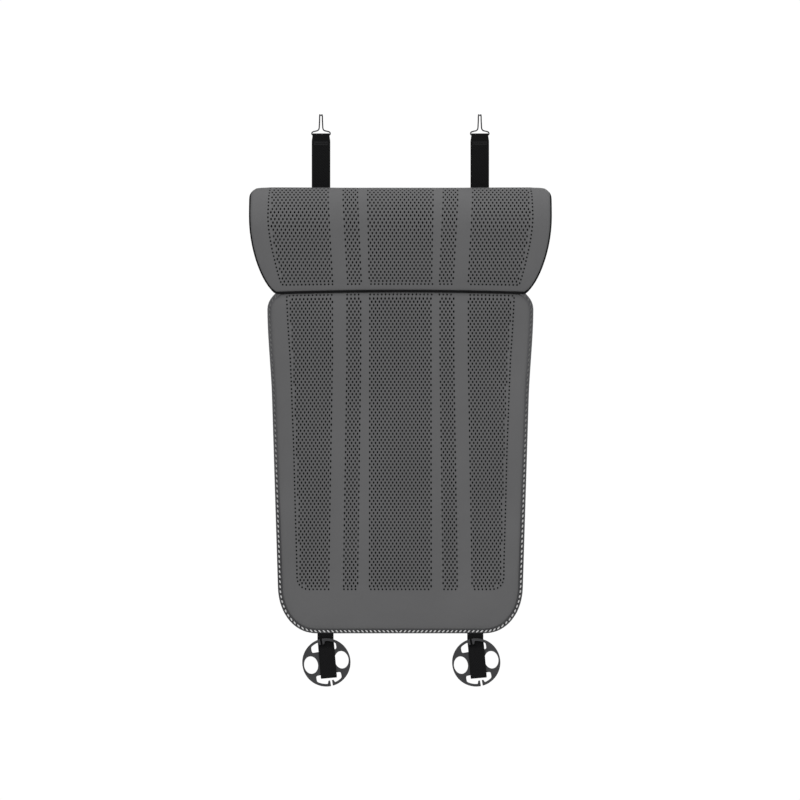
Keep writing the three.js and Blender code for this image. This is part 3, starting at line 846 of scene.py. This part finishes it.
bm = bmesh.new()
front = Vector((0, -1, 0))
stitch_line = evenly(binding_line, 0.3, closed=False)
left = STITCH_STEP
for before, point, after in zip(stitch_line, stitch_line[1:], stitch_line[2:]):
    along = (after - before).normalized()
    left -= (point - before).length
    if left > 0:
        continue
    left = FOOT_STEP + (STITCH_STEP - FOOT_STEP) * abs(along.y)
    path = math.degrees(math.atan2(along.y, along.x))
    turned = math.radians(path * STITCH_FOLLOW + math.copysign(STITCH_SLANT, point.x))
    way = Vector((math.cos(turned), 0, math.sin(turned)))
    length = FOOT_LENGTH + (STITCH_LENGTH - FOOT_LENGTH) * abs(along.y)
    middle = Vector((point.x, STITCH_DEPTH, point.y))
    stitch(bm, middle, way, front, length, STITCH_WIDTH)
bmesh.ops.recalc_face_normals(bm, faces=bm.faces)
panel_stitches = finished("back_panel_stitches", bm, thread, "back_panel")
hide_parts("back_panel_edge_stitching")

# ---- Head flap: foam and lining
# The flap is padded like the panel. It stands up from the seam, and rolls back over the top of
# the seat in two bends.
FLAP_RUNS = ((98.7, 0.0), (69.0, 50.0), (30.0, 50.0), (20.0, 0.0))  # length or radius, and turn
FLAP_SIDE = 234  # its half-width
PAD_MIDDLE = 6.0
FLAP_HELD = 2.6  # the skin's distance from that middle where the piping holds it
FLAP_TUCK = 1.6
flap_length = sum(r * math.radians(turn) if turn else r for r, turn in FLAP_RUNS)
corner_start, corner_bend = flap_length - 53, flap_length - 23.7
flap_edge = [
    *curve((SEAM_HALF, 0), (209.8, 9), (FLAP_SIDE, 60), (FLAP_SIDE, 120)),
    *curve(
        *((FLAP_SIDE, corner_start), (FLAP_SIDE, corner_bend)),
        *((204.7, flap_length), (169, flap_length)),
    ),
]
flap_edge[-1].y += 0.01


def flap_section(distance):
    """The middle of the flap's thickness at a distance from the seam, and the ways on and out."""
    y, z, heading, left = -PAD_MIDDLE, SEAM_HEIGHT, 0.0, distance
    for size, turn in FLAP_RUNS:
        length = size * math.radians(turn) if turn else size
        step = left if (size, turn) == FLAP_RUNS[-1] else min(left, length)
        if turn:
            bend = step / size
            y += size * (math.cos(heading) - math.cos(heading + bend))
            z += size * (math.sin(heading + bend) - math.sin(heading))
            heading += bend
        else:
            y += step * math.sin(heading)
            z += step * math.cos(heading)
        left -= step
        if left <= 0:
            break
    along = Vector((0, math.sin(heading), math.cos(heading)))
    return Vector((0, y, z)), along, Vector((0, -along.z, along.y))


def flap_distance(place):
    """How far along the flap a place lies, and how far outside its middle layer."""
    y, z, turned = -PAD_MIDDLE, SEAM_HEIGHT, 0.0
    start, best = 0.0, None
    for size, turn in FLAP_RUNS:
        length = size * math.radians(turn) if turn else size
        along = Vector((0, math.sin(turned), math.cos(turned)))
        out = Vector((0, -along.z, along.y))
        here = Vector((0, place.y - y, place.z - z))
        if turn:
            centre = -size * out
            spoke = here - centre
            bend = math.atan2(spoke.dot(along), spoke.dot(out))
            inside = 0 <= bend <= math.radians(turn)
            found = (start + size * bend, spoke.length - size)
        else:
            run = here.dot(along)
            inside = -30 < run <= length if start == 0 else 0 <= run < length + 30
            found = (start + run, here.dot(out))
        if inside and (best is None or abs(found[1]) < abs(best[1])):
            best = found
        start += length
        middle, _, _ = flap_section(start)
        y, z = middle.y, middle.z
        turned += math.radians(turn)
    return best or (0.0, 0.0)


from_flap_side = nearness(all_round(flap_edge, flap_length))


def flap_rise(x, distance, start, run):
    """How fully the flap has risen, by its distance from the piping round it."""
    return rise(from_flap_side(Vector((x, distance, 0))), start, run)


def pressed_flap(place):
    """The foam is pressed thin along the piping, towards its middle."""
    distance, out = flap_distance(place)
    middle, _, way = flap_section(distance)
    kept = out * (0.1 + 0.9 * flap_rise(place.x, distance, 3, 13))
    return Vector((place.x, 0, 0)) + middle + way * kept


flap_foam = swollen(
    "head_flap_foam", "head_flap_padding", foam, "head_flap", PAD_SWELL * MM, pressed_flap
)
flap_tree = BVHTree.FromObject(flap_foam, bpy.context.evaluated_depsgraph_get())


def flap_face(x, distance, side, thickness):
    """A place on the flap's outer skin, or with side = -1 on its lining."""
    middle, _, out = flap_section(distance)
    middle = middle + Vector((x, 0, seam_arch(x, middle.z)))
    way = out * side
    off = FLAP_HELD + (PAD_MIDDLE - FLAP_HELD) * flap_rise(x, distance, 0.8, 6)
    hit = flap_tree.ray_cast((middle + way * 60) * MM, -way, 70 * MM)[0]
    if hit:
        off = max(off, (hit / MM - middle).dot(way) + thickness + CLEAR)
    return middle + way * off


bm = plain_sheet(inset_edge(flap_edge, FLAP_TUCK), flap_length - FLAP_TUCK)
bmesh.ops.delete(bm, geom=[v for v in bm.verts if v.co.y < 1], context="VERTS")
for vertex in bm.verts:
    vertex.co = flap_face(vertex.co.x, vertex.co.y, -1, LINING)
bmesh.ops.reverse_faces(bm, faces=bm.faces)
flap_lining = finished("head_flap_lining", bm, lining, "head_flap")
wall = flap_lining.modifiers.new("cloth", "SOLIDIFY")
wall.thickness = LINING * MM
wall.offset = -1
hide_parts("head_flap_backing")

# ---- Head flap: perforated skin
# The same leatherette and the same bands of holes, cut wider and spread towards the roll.
FLAP_ROW = 5.04
FLAP_COLUMN = 3.12
FLAP_LOWEST_ROW = 11.8

flap_row_line = [
    Vector((*p, 0))
    for p in (
        *((183.6, FLAP_LOWEST_ROW), (187.2, 22), (191.8, 38)),
        *((195.2, 53), (199.0, 69), (201.8, 84)),
        *((204.0, 100), (205.2, 115), (204.0, 152), (201.5, 174)),
    )
]


def flap_knots(distance):
    """Where the bands of holes lie at a distance from the seam: they spread towards the roll."""
    t = min(1.2, max(-0.2, (distance - 22) / 101))
    return [
        *((0, 0), (16, 48.4 + 1.8 * t), (21, 60.7 + 4.9 * t)),
        *((28, 81.6 + 5.9 * t), (35, 105.5 + 5.7 * t), (36, 108.6 + 5.7 * t)),
    ]


bm = punched_sheet(
    inset_edge(flap_edge, FLAP_TUCK),
    flap_length - FLAP_TUCK,
    flap_row_line,
    FLAP_LOWEST_ROW + FLAP_ROW,
    FLAP_ROW,
    FLAP_COLUMN,
    flap_knots,
)
for vertex in bm.verts:
    vertex.co = flap_face(vertex.co.x, vertex.co.y, 1, SKIN)
flap_skin = finished("head_flap_leatherette", bm, leatherette, "head_flap")
wall = flap_skin.modifiers.new("leather", "SOLIDIFY")
wall.thickness = SKIN * MM
wall.offset = -1
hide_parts("head_flap_skin")

# ---- Head flap: piping
# A black cord in a cloth strip, sewn in all round the flap: along the seam, up both sides and
# across the rear, where its ends butt together.
PIPING_RADIUS = 2.0
SEAM_RUN = 8.0  # how near to the seam the piping is drawn down into it

# Plain-woven polyester tape: black and matt, with threads that slant round the cord.
piping_cloth, shader = new_material("piping")
grain = add_node(piping_cloth, "ShaderNodeTexCoord").outputs["Object"]
threads = add_node(
    piping_cloth,
    "ShaderNodeTexWave",
    {"bands_direction": "DIAGONAL"},
    {"Vector": grain, "Scale": 500.0},
)
shade = add_node(
    piping_cloth,
    "ShaderNodeMix",
    {"data_type": "RGBA"},
    {0: threads.outputs[1], 6: linear("#060607"), 7: linear("#111112")},
)
piping_cloth.node_tree.links.new(shade.outputs[2], shader.inputs["Base Color"])
bump = add_node(
    piping_cloth, "ShaderNodeBump", inputs={"Height": threads.outputs[1], "Distance": 0.0002}
)
piping_cloth.node_tree.links.new(bump.outputs[0], shader.inputs["Normal"])
shader.inputs["Roughness"].default_value = 0.8
shader.inputs["Specular IOR Level"].default_value = 0.2


def round_section(radius, sides):
    """Points of a round section."""
    turns = [math.tau * i / sides for i in range(sides)]
    return [(radius * math.cos(t), radius * math.sin(t)) for t in turns]


def free_frames(points):
    """Frames along a closed line in space, turned as little as may be from one to the next."""
    frames, across = [], None
    for i in range(len(points)):
        along = (points[(i + 1) % len(points)] - points[i - 1]).normalized()
        if across is None:
            across = along.orthogonal().normalized()
        across = (across - along * across.dot(along)).normalized()
        frames.append((points[i], across, along.cross(across)))
    return frames


piping_line = evenly(shifted(evenly(all_round(flap_edge, flap_length), 3), 1.2), 4)
placed = []
for p in piping_line:
    p.y -= 1.4 * max(0, 1 - p.y / SEAM_RUN)
    middle, _, _ = flap_section(p.y)
    at_seam = max(0, 1 - p.y / SEAM_RUN)
    placed.append(middle + Vector((p.x, -2 * at_seam, seam_arch(p.x, middle.z))))
bm = bmesh.new()
sweep(bm, round_section(PIPING_RADIUS, 10), free_frames(placed), closed=True)
bmesh.ops.recalc_face_normals(bm, faces=bm.faces)
flap_piping = finished("head_flap_cord", bm, piping_cloth, "head_flap")
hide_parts("head_flap_piping")

# ---- Top straps
# Black webbing, sewn under the flap's rear edge with a crossed box of stitches. Each strap turns
# up behind the flap, and its end is folded back over the hook's bar and tacked down.
WEBBING = 1.3
SEWN_END = 26
TURN_RADIUS = 6
FOLD_RADIUS = 1.9
LAP = 16
LAP_OFF = 0.85  # how far behind the bar's middle the lapped end lies
CROSSED_BOX = (-11, 172.8, 11, 186.8)  # its lowest and highest, across and along the flap
BOX_STITCH = (2.5, 0.9)  # length and width
TACK_ROWS = (-14.6, -11.4)  # below the bar
TACK_STITCH = (3.0, 0.8)

# Polypropylene webbing, woven in a twill: yarns of about 1.4 mm, with a little light on each.
webbing, shader = new_material("webbing")
woven = add_node(webbing, "ShaderNodeTexCoord").outputs["UV"]
warp, weft, twill = (
    add_node(
        webbing, "ShaderNodeTexWave", {"bands_direction": way}, {"Vector": woven, "Scale": scale}
    )
    for way, scale in (("X", 2.2), ("Y", 2.6), ("DIAGONAL", 1.5))
)
yarns = add_node(
    webbing, "ShaderNodeMath", {"operation": "MULTIPLY"}, {0: warp.outputs[1], 1: weft.outputs[1]}
)
weave = add_node(
    webbing, "ShaderNodeMath", {"operation": "ADD"}, {0: yarns.outputs[0], 1: twill.outputs[1]}
)
tone = add_node(
    webbing, "ShaderNodeMath", {"operation": "MULTIPLY"}, {0: weave.outputs[0], 1: 0.5}
)
shade = add_node(
    webbing,
    "ShaderNodeMix",
    {"data_type": "RGBA"},
    {0: tone.outputs[0], 6: linear("#050506"), 7: linear("#131315")},
)
webbing.node_tree.links.new(shade.outputs[2], shader.inputs["Base Color"])
bump = add_node(
    webbing, "ShaderNodeBump", inputs={"Height": weave.outputs[0], "Distance": 0.0003}
)
webbing.node_tree.links.new(bump.outputs[0], shader.inputs["Normal"])
shader.inputs["Roughness"].default_value = 0.8
shader.inputs["Specular IOR Level"].default_value = 0.2


def webbing_strip(name, line, widths, place=lambda p: p):
    """A strip of webbing along a line in Y and Z; its UV map runs in centimetres along it."""
    bm = bmesh.new()
    half = WEBBING / 2
    frames, travelled = [], [0.0]
    for i, point in enumerate(line):
        along = (line[min(i + 1, len(line) - 1)] - line[max(i - 1, 0)]).normalized()
        frames.append((point, Vector((widths[i] / 2, 0, 0)), Vector((0, -along.z, along.y))))
        if i:
            travelled.append(travelled[-1] + (point - line[i - 1]).length)
    across = (-0.96, -0.6, -0.2, 0.2, 0.6, 0.96)
    section = [(-1.0, 0), *((a, half) for a in across), (1.0, 0)]
    section += [(a, -half) for a in reversed(across)]
    sweep(bm, section, frames)
    bmesh.ops.recalc_face_normals(bm, faces=bm.faces)
    woven = bm.loops.layers.uv.new("UVMap")
    tree = KDTree(len(line))
    for i, point in enumerate(line):
        tree.insert(point, i)
    tree.balance()
    rows = {v: tree.find(Vector((line[0].x, v.co.y, v.co.z)))[1] for v in bm.verts}
    for face in bm.faces:
        for corner in face.loops:
            vertex = corner.vert
            corner[woven].uv = ((vertex.co.x - line[0].x) / 10, travelled[rows[vertex]] / 10)
    for vertex in bm.verts:
        vertex.co = place(vertex.co)
    return finished(name, bm, webbing, None)


def arc(x, y, z, radius, start, end, steps):
    """Points of an arc in Y and Z."""
    turns = [math.radians(start + (end - start) * i / steps) for i in range(steps + 1)]
    return [Vector((x, y + radius * math.cos(t), z + radius * math.sin(t))) for t in turns]


# Bonded nylon thread: near black, with a low gloss.
black_thread, shader = new_material("black_thread")
grain = add_node(black_thread, "ShaderNodeTexCoord").outputs["Object"]
strands = add_node(
    black_thread,
    "ShaderNodeTexWave",
    {"bands_direction": "DIAGONAL"},
    {"Vector": grain, "Scale": 600.0},
)
shade = add_node(
    black_thread,
    "ShaderNodeMix",
    {"data_type": "RGBA"},
    {0: strands.outputs[1], 6: linear("#141416"), 7: linear("#303033")},
)
black_thread.node_tree.links.new(shade.outputs[2], shader.inputs["Base Color"])
shader.inputs["Roughness"].default_value = 0.7

# ---- Hooks
# One closed ring of wire on each strap: the bar in the webbing's fold, the shoulders, the two
# wires of the neck side by side, and the nose, which curls forward.
WIRE_RADIUS = 1.05
NOSE_TURN = 115  # degrees
NOSE_RADIUS = 4
NECK_TOP = 27.5  # above the bar

# Chromed steel wire, drawn and bent: a clean reflection, broken a little by fine scuffs. Its
# colour is darker than chrome's own, so that the wire stands out in a white room.
chrome, shader = new_material("chrome")
grain = add_node(chrome, "ShaderNodeTexCoord").outputs["Object"]
scuffs = add_node(
    chrome, "ShaderNodeTexNoise", inputs={"Vector": grain, "Scale": 700.0, "Detail": 4.0}
)
rough = add_node(
    chrome,
    "ShaderNodeMapRange",
    inputs={
        "Value": scuffs.outputs[0],
        "From Min": 0.35,
        "From Max": 0.7,
        "To Min": 0.08,
        "To Max": 0.24,
    },
)
chrome.node_tree.links.new(rough.outputs[0], shader.inputs["Roughness"])
shader.inputs["Metallic"].default_value = 1.0
shader.inputs["Base Color"].default_value = linear("#37383b")


def rounded(points, steps=6):
    """A smooth closed line through points."""
    count, made = len(points), []
    for i in range(count):
        a, b, c, d = (points[(i + k) % count] for k in (-1, 0, 1, 2))
        bend, twist = 2 * a - 5 * b + 4 * c - d, 3 * b - a - 3 * c + d
        for k in range(steps):
            t = k / steps
            made.append(0.5 * (2 * b + (c - a) * t + bend * t * t + twist * t**3))
    return made


# The wire's right half, as places in X, Y and Z from the middle of its bar to the nose.
wire_half = [(6, 0, 0), (12.4, 0, 0), (13.9, 0, 1), (14.3, 0, 2.9), (12.9, 0, 4.8)]
wire_half += [(9.3, 0, 5.9), (5.2, 0, 7.0), (3.1, 0, 9.8), (2.6, 0, 15.4), (2.2, 0, 23.5)]
for turn in range(0, NOSE_TURN + 1, 23):
    a = math.radians(turn)
    y, z = NOSE_RADIUS * (math.cos(a) - 1), NECK_TOP + NOSE_RADIUS * math.sin(a)
    wire_half.append((2.2 - 0.6 * turn / NOSE_TURN, y, z))
y_end, z_end = wire_half[-1][1:]
down = (-math.sin(math.radians(NOSE_TURN)), math.cos(math.radians(NOSE_TURN)))
wire_half.append((1.1, y_end + 1.1 * down[0], z_end + 1.1 * down[1]))
wire_tip = (0, y_end + 1.6 * down[0], z_end + 1.6 * down[1])

# Both top straps, each with its stitching and its hook.
for word in ("left", "right"):
    low, high = (Vector(corner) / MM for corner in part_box(f"top_strap_{word}"))
    x, width = (low.x + high.x) / 2, high.x - low.x
    strap_y, bend_z = low.y + 0.7, low.z - 0.3
    bar = Vector((x, strap_y + 0.7, high.z - 2.6))
    sewn = [
        flap_face(x, d, -1, LINING) - flap_section(d)[2] * (WEBBING / 2 + 0.25)
        for d in (flap_length - SEWN_END + 2.4 * i for i in range(11))
    ]
    for point in sewn:
        point.x = x
    turn_up = arc(x, strap_y - TURN_RADIUS, bend_z, TURN_RADIUS, -92, 0, 12)
    rise_up = [
        Vector((x, strap_y, bend_z + (bar.z - 6 - bend_z) * i / 24)) for i in range(1, 25)
    ]
    over_bar = arc(x, bar.y, bar.z, FOLD_RADIUS, 200, -20, 14)
    lap = [Vector((x, bar.y + LAP_OFF, bar.z - 6 - LAP * i / 6)) for i in range(7)]
    line = sewn + turn_up + rise_up + over_bar + lap
    widths = [
        width - 2.4 * min(1, max(0, (p.z - (bar.z - 9)) / 7)) if p.z > bend_z else width
        for p in line
    ]
    strap = webbing_strip(f"top_strap_webbing_{word}", line, widths)
    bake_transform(strap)
    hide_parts(f"top_strap_{word}", f"top_strap_root_{word}")

    # The crossed box of stitches through the flap.
    bm = bmesh.new()
    box_left, box_foot, box_right, box_head = CROSSED_BOX
    corners = [(box_left, box_foot), (box_right, box_foot)]
    corners += [(box_right, box_head), (box_left, box_head)]
    seams = list(zip(corners, corners[1:] + corners[:1]))
    seams += [(corners[0], corners[2]), (corners[1], corners[3])]
    for (x0, d0), (x1, d1) in seams:
        count = round(math.hypot(x1 - x0, d1 - d0) / 2.8)
        for i in range(count):
            t = (i + 0.5) / count
            here, d = x + x0 + (x1 - x0) * t, d0 + (d1 - d0) * t
            middle = flap_face(here, d, 1, SKIN)
            _, along, out = flap_section(d)
            way = (Vector((x1 - x0, 0, 0)) + along * (d1 - d0)).normalized()
            stitch(bm, middle + out * 0.15, way, out, *BOX_STITCH)
    bmesh.ops.recalc_face_normals(bm, faces=bm.faces)
    box = finished(f"top_strap_box_seam_{word}", bm, black_thread, "head_flap")
    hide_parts(f"top_strap_box_stitching_{word}")

    # The tack below the fold: close stitches on both faces.
    bm = bmesh.new()
    slant = Vector((0.35, 0, 0.94))
    for row in TACK_ROWS:
        for i in range(14):
            here = x - 10.4 + 1.6 * i
            front = Vector((here, strap_y - WEBBING / 2 - 0.1, bar.z + row))
            rear = Vector((here, bar.y + LAP_OFF + WEBBING / 2 + 0.1, bar.z + row))
            stitch(bm, front, slant, Vector((0, -1, 0)), *TACK_STITCH)
            stitch(bm, rear, slant, Vector((0, 1, 0)), *TACK_STITCH)
    bmesh.ops.recalc_face_normals(bm, faces=bm.faces)
    tack = finished(
        f"top_strap_bar_tack_{word}", bm, black_thread, f"top_strap_{word}"
    )
    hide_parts(f"top_strap_tack_{word}")

    # The hook, with its bar in the strap's fold.
    other_half = [(-px, py, pz) for px, py, pz in reversed(wire_half)]
    wire = [(0, 0, 0), *wire_half, wire_tip, *other_half]
    bm = bmesh.new()
    line = rounded([bar + Vector(p) for p in wire])
    sweep(bm, round_section(WIRE_RADIUS, 10), free_frames(line), closed=True)
    bmesh.ops.recalc_face_normals(bm, faces=bm.faces)
    hook = finished(f"hook_wire_{word}", bm, chrome, f"hook_{word}")
    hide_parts(f"hook_{word}")

# ---- Foot straps
# Webbing whose two ends are sewn into the panel's foot. Its loop comes through the disc's upper
# slot, goes down in front of the middle web and back up behind the disc.
FOOT_WEBBING = 25.0
LOOP_LEAN = 5  # degrees, with the disc
DISC_RADIUS = 37.4
SLOT_TOP = 27.5  # where the loop comes through the disc, above the disc's middle
SLOT_FOOT = 20.4

for word in ("left", "right"):
    low, high = (Vector(corner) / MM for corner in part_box(f"foot_strap_root_{word}"))
    disc_low, disc_high = (Vector(corner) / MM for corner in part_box(f"anchor_disc_{word}"))
    x = (low.x + high.x) / 2
    front_y, rear_y = low.y + 0.7, high.y - 0.7
    disc_z = (disc_low.z + disc_high.z) / 2
    web_front = disc_low.y - 0.3 - WEBBING / 2
    fold_y, fold_z, fold_r = (rear_y + web_front) / 2, disc_z - 20.2, (rear_y - web_front) / 2

    def leaning(place):
        """The loop leans a little with its disc."""
        t = min(1, max(0, (disc_z + DISC_RADIUS - place.z + 1) / 13))
        a = math.radians(LOOP_LEAN) * t * t * (3 - 2 * t)
        dx, dz = place.x - x, place.z - (disc_z + DISC_RADIUS)
        across = x + dx * math.cos(a) - dz * math.sin(a)
        return Vector(
            (across, place.y, disc_z + DISC_RADIUS + dx * math.sin(a) + dz * math.cos(a))
        )

    slot_top, slot_foot = disc_z + SLOT_TOP, disc_z + SLOT_FOOT
    drop = high.z - disc_z - SLOT_TOP
    line = [Vector((x, front_y, high.z - drop * i / 14)) for i in range(15)]
    for i in range(1, 8):
        t = i / 8
        ease = t * t * (3 - 2 * t)
        y = front_y + (web_front - front_y) * ease
        line.append(Vector((x, y, slot_top + (slot_foot - slot_top) * t)))
    line += [Vector((x, web_front, slot_foot + (fold_z - slot_foot) * i / 12)) for i in range(13)]
    line += arc(x, fold_y, fold_z, fold_r, 180, 360, 12)[1:]
    line += [Vector((x, rear_y, fold_z + (high.z - fold_z) * i / 26)) for i in range(1, 27)]
    widths = [FOOT_WEBBING] * len(line)
    strap = webbing_strip(f"foot_strap_webbing_{word}", line, widths, leaning)
    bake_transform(strap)
    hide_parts(f"foot_strap_root_{word}", f"foot_strap_loop_{word}")

# ---- Anchor discs
# Moulded plastic, with two oval holes and two slots that are split through the rim, so that a
# strap can be slipped in past the barbs. The edges are broken by a small bevel.
DISC_THICKNESS = 4.0
DISC_TILT = -10  # degrees
DISC_EDGE = 0.75  # the bevel
RIM_INSIDE = 33.3
WEB_END = 16.8  # where a slot's end turns off from the rim
SLOT_END = 19.4
SLOT_CORNER = 18
WEB_EDGE = -28.4  # how far out the barbs at the splits reach in from the rim
OVAL = (10.8, 13.6)  # half the size of the oval holes
OVAL_PLACE = 24

# Moulded polypropylene, straight from a fine-textured mould: half matt, with a faint mottling.
disc_plastic, shader = new_material("disc_plastic")
grain = add_node(disc_plastic, "ShaderNodeTexCoord").outputs["Object"]
speckle, cloud = (
    add_node(
        disc_plastic,
        "ShaderNodeTexNoise",
        inputs={"Vector": grain, "Scale": scale, "Detail": detail},
    )
    for scale, detail in ((1500.0, 3.0), (60.0, 2.0))
)
shade = add_node(
    disc_plastic,
    "ShaderNodeMix",
    {"data_type": "RGBA"},
    {0: cloud.outputs[0], 6: linear("#29292b"), 7: linear("#3c3c3e")},
)
disc_plastic.node_tree.links.new(shade.outputs[2], shader.inputs["Base Color"])
rough = add_node(
    disc_plastic,
    "ShaderNodeMapRange",
    inputs={"Value": cloud.outputs[0], "To Min": 0.3, "To Max": 0.45},
)
disc_plastic.node_tree.links.new(rough.outputs[0], shader.inputs["Roughness"])
bump = add_node(
    disc_plastic, "ShaderNodeBump", inputs={"Height": speckle.outputs[0], "Distance": 0.00008}
)
disc_plastic.node_tree.links.new(bump.outputs[0], shader.inputs["Normal"])


def arc_flat(radius_x, radius_z, start, end, steps, middle=(0, 0)):
    """Points of a round or oval arc, in degrees."""
    turns = [math.radians(start + (end - start) * i / steps) for i in range(steps + 1)]
    return [
        Vector((middle[0] + radius_x * math.cos(t), middle[1] + radius_z * math.sin(t), 0))
        for t in turns
    ]


def disc_outline():
    """The rim and both slots, as one line that goes in through each split and out again."""
    slot_low = -math.sqrt(RIM_INSIDE**2 - WEB_END**2)
    end_turn = math.degrees(math.atan2(slot_low, WEB_END))
    right_turn = math.degrees(math.acos(3.7 / DISC_RADIUS))
    left_turn = math.degrees(math.acos(0.9 / DISC_RADIUS))
    low_end = [(WEB_END, slot_low), *((SLOT_END, slot_low + up) for up in (1.5, 2.5, 5))]
    high_end = [(SLOT_END, -21.5), (SLOT_END, -SLOT_CORNER)]
    high_end += [(SLOT_CORNER, -SLOT_CORNER), (14.8, -SLOT_CORNER)]
    lower = [Vector((*p, 0)) for p in ((0.9, WEB_EDGE), (-1.7, WEB_EDGE), (-3.6, -33.1))]
    lower += arc_flat(RIM_INSIDE, RIM_INSIDE, -98, -180 - end_turn, 9)[:-1]
    lower += curve(*((-px, pz) for px, pz in low_end), steps=4)
    lower += curve(*((-px, pz) for px, pz in high_end), steps=4)
    lower += curve(*reversed(high_end), steps=4)
    lower += curve(*reversed(low_end), steps=4)
    lower += arc_flat(RIM_INSIDE, RIM_INSIDE, end_turn, -76, 9)[1:]
    lower += [Vector((*p, 0)) for p in ((6.3, WEB_EDGE), (3.7, WEB_EDGE))]
    rim = arc_flat(DISC_RADIUS, DISC_RADIUS, -right_turn, 180 - left_turn, 30)
    turned = [Vector((-p.x, -p.y, 0)) for p in lower + rim]
    return lower + rim + turned


for word in ("left", "right"):
    disc_low, disc_high = (Vector(corner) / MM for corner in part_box(f"anchor_disc_{word}"))
    bm = bmesh.new()
    edges = edges_of(
        ring(bm, disc_outline()),
        ring(bm, arc_flat(*OVAL, 0, 360, 28, (OVAL_PLACE, 0))[:-1]),
        ring(bm, arc_flat(*OVAL, 0, 360, 28, (-OVAL_PLACE, 0))[:-1]),
    )
    bmesh.ops.triangle_fill(bm, edges=edges, use_beauty=True, normal=(0, 0, 1))
    made = bmesh.ops.extrude_face_region(bm, geom=list(bm.faces))["geom"]
    top = [g for g in made if isinstance(g, bmesh.types.BMVert)]
    bmesh.ops.translate(bm, vec=(0, 0, DISC_THICKNESS), verts=top)
    bmesh.ops.recalc_face_normals(bm, faces=bm.faces)
    sharp = [e for e in bm.edges if len(e.link_faces) == 2 and e.calc_face_angle() > 1.2]
    bmesh.ops.bevel(
        bm,
        geom=[e for e in sharp if abs(e.verts[0].co.z - e.verts[1].co.z) < 0.1],
        offset=DISC_EDGE,
        segments=3,
        profile=0.5,
        affect="EDGES",
        material=-1,
        clamp_overlap=True,
    )
    upright = Matrix.Rotation(math.radians(90), 4, "X")
    tilt = Matrix.Rotation(math.radians(DISC_TILT), 4, "Y")
    middle = (disc_low + disc_high) / 2
    middle.y = disc_high.y
    bmesh.ops.transform(bm, matrix=Matrix.Translation(middle) @ tilt @ upright, verts=bm.verts)
    disc = finished(
        f"anchor_disc_moulding_{word}",
        bm,
        disc_plastic,
        f"anchor_disc_{word}",
        smooth=False,
    )
    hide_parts(f"anchor_disc_{word}")
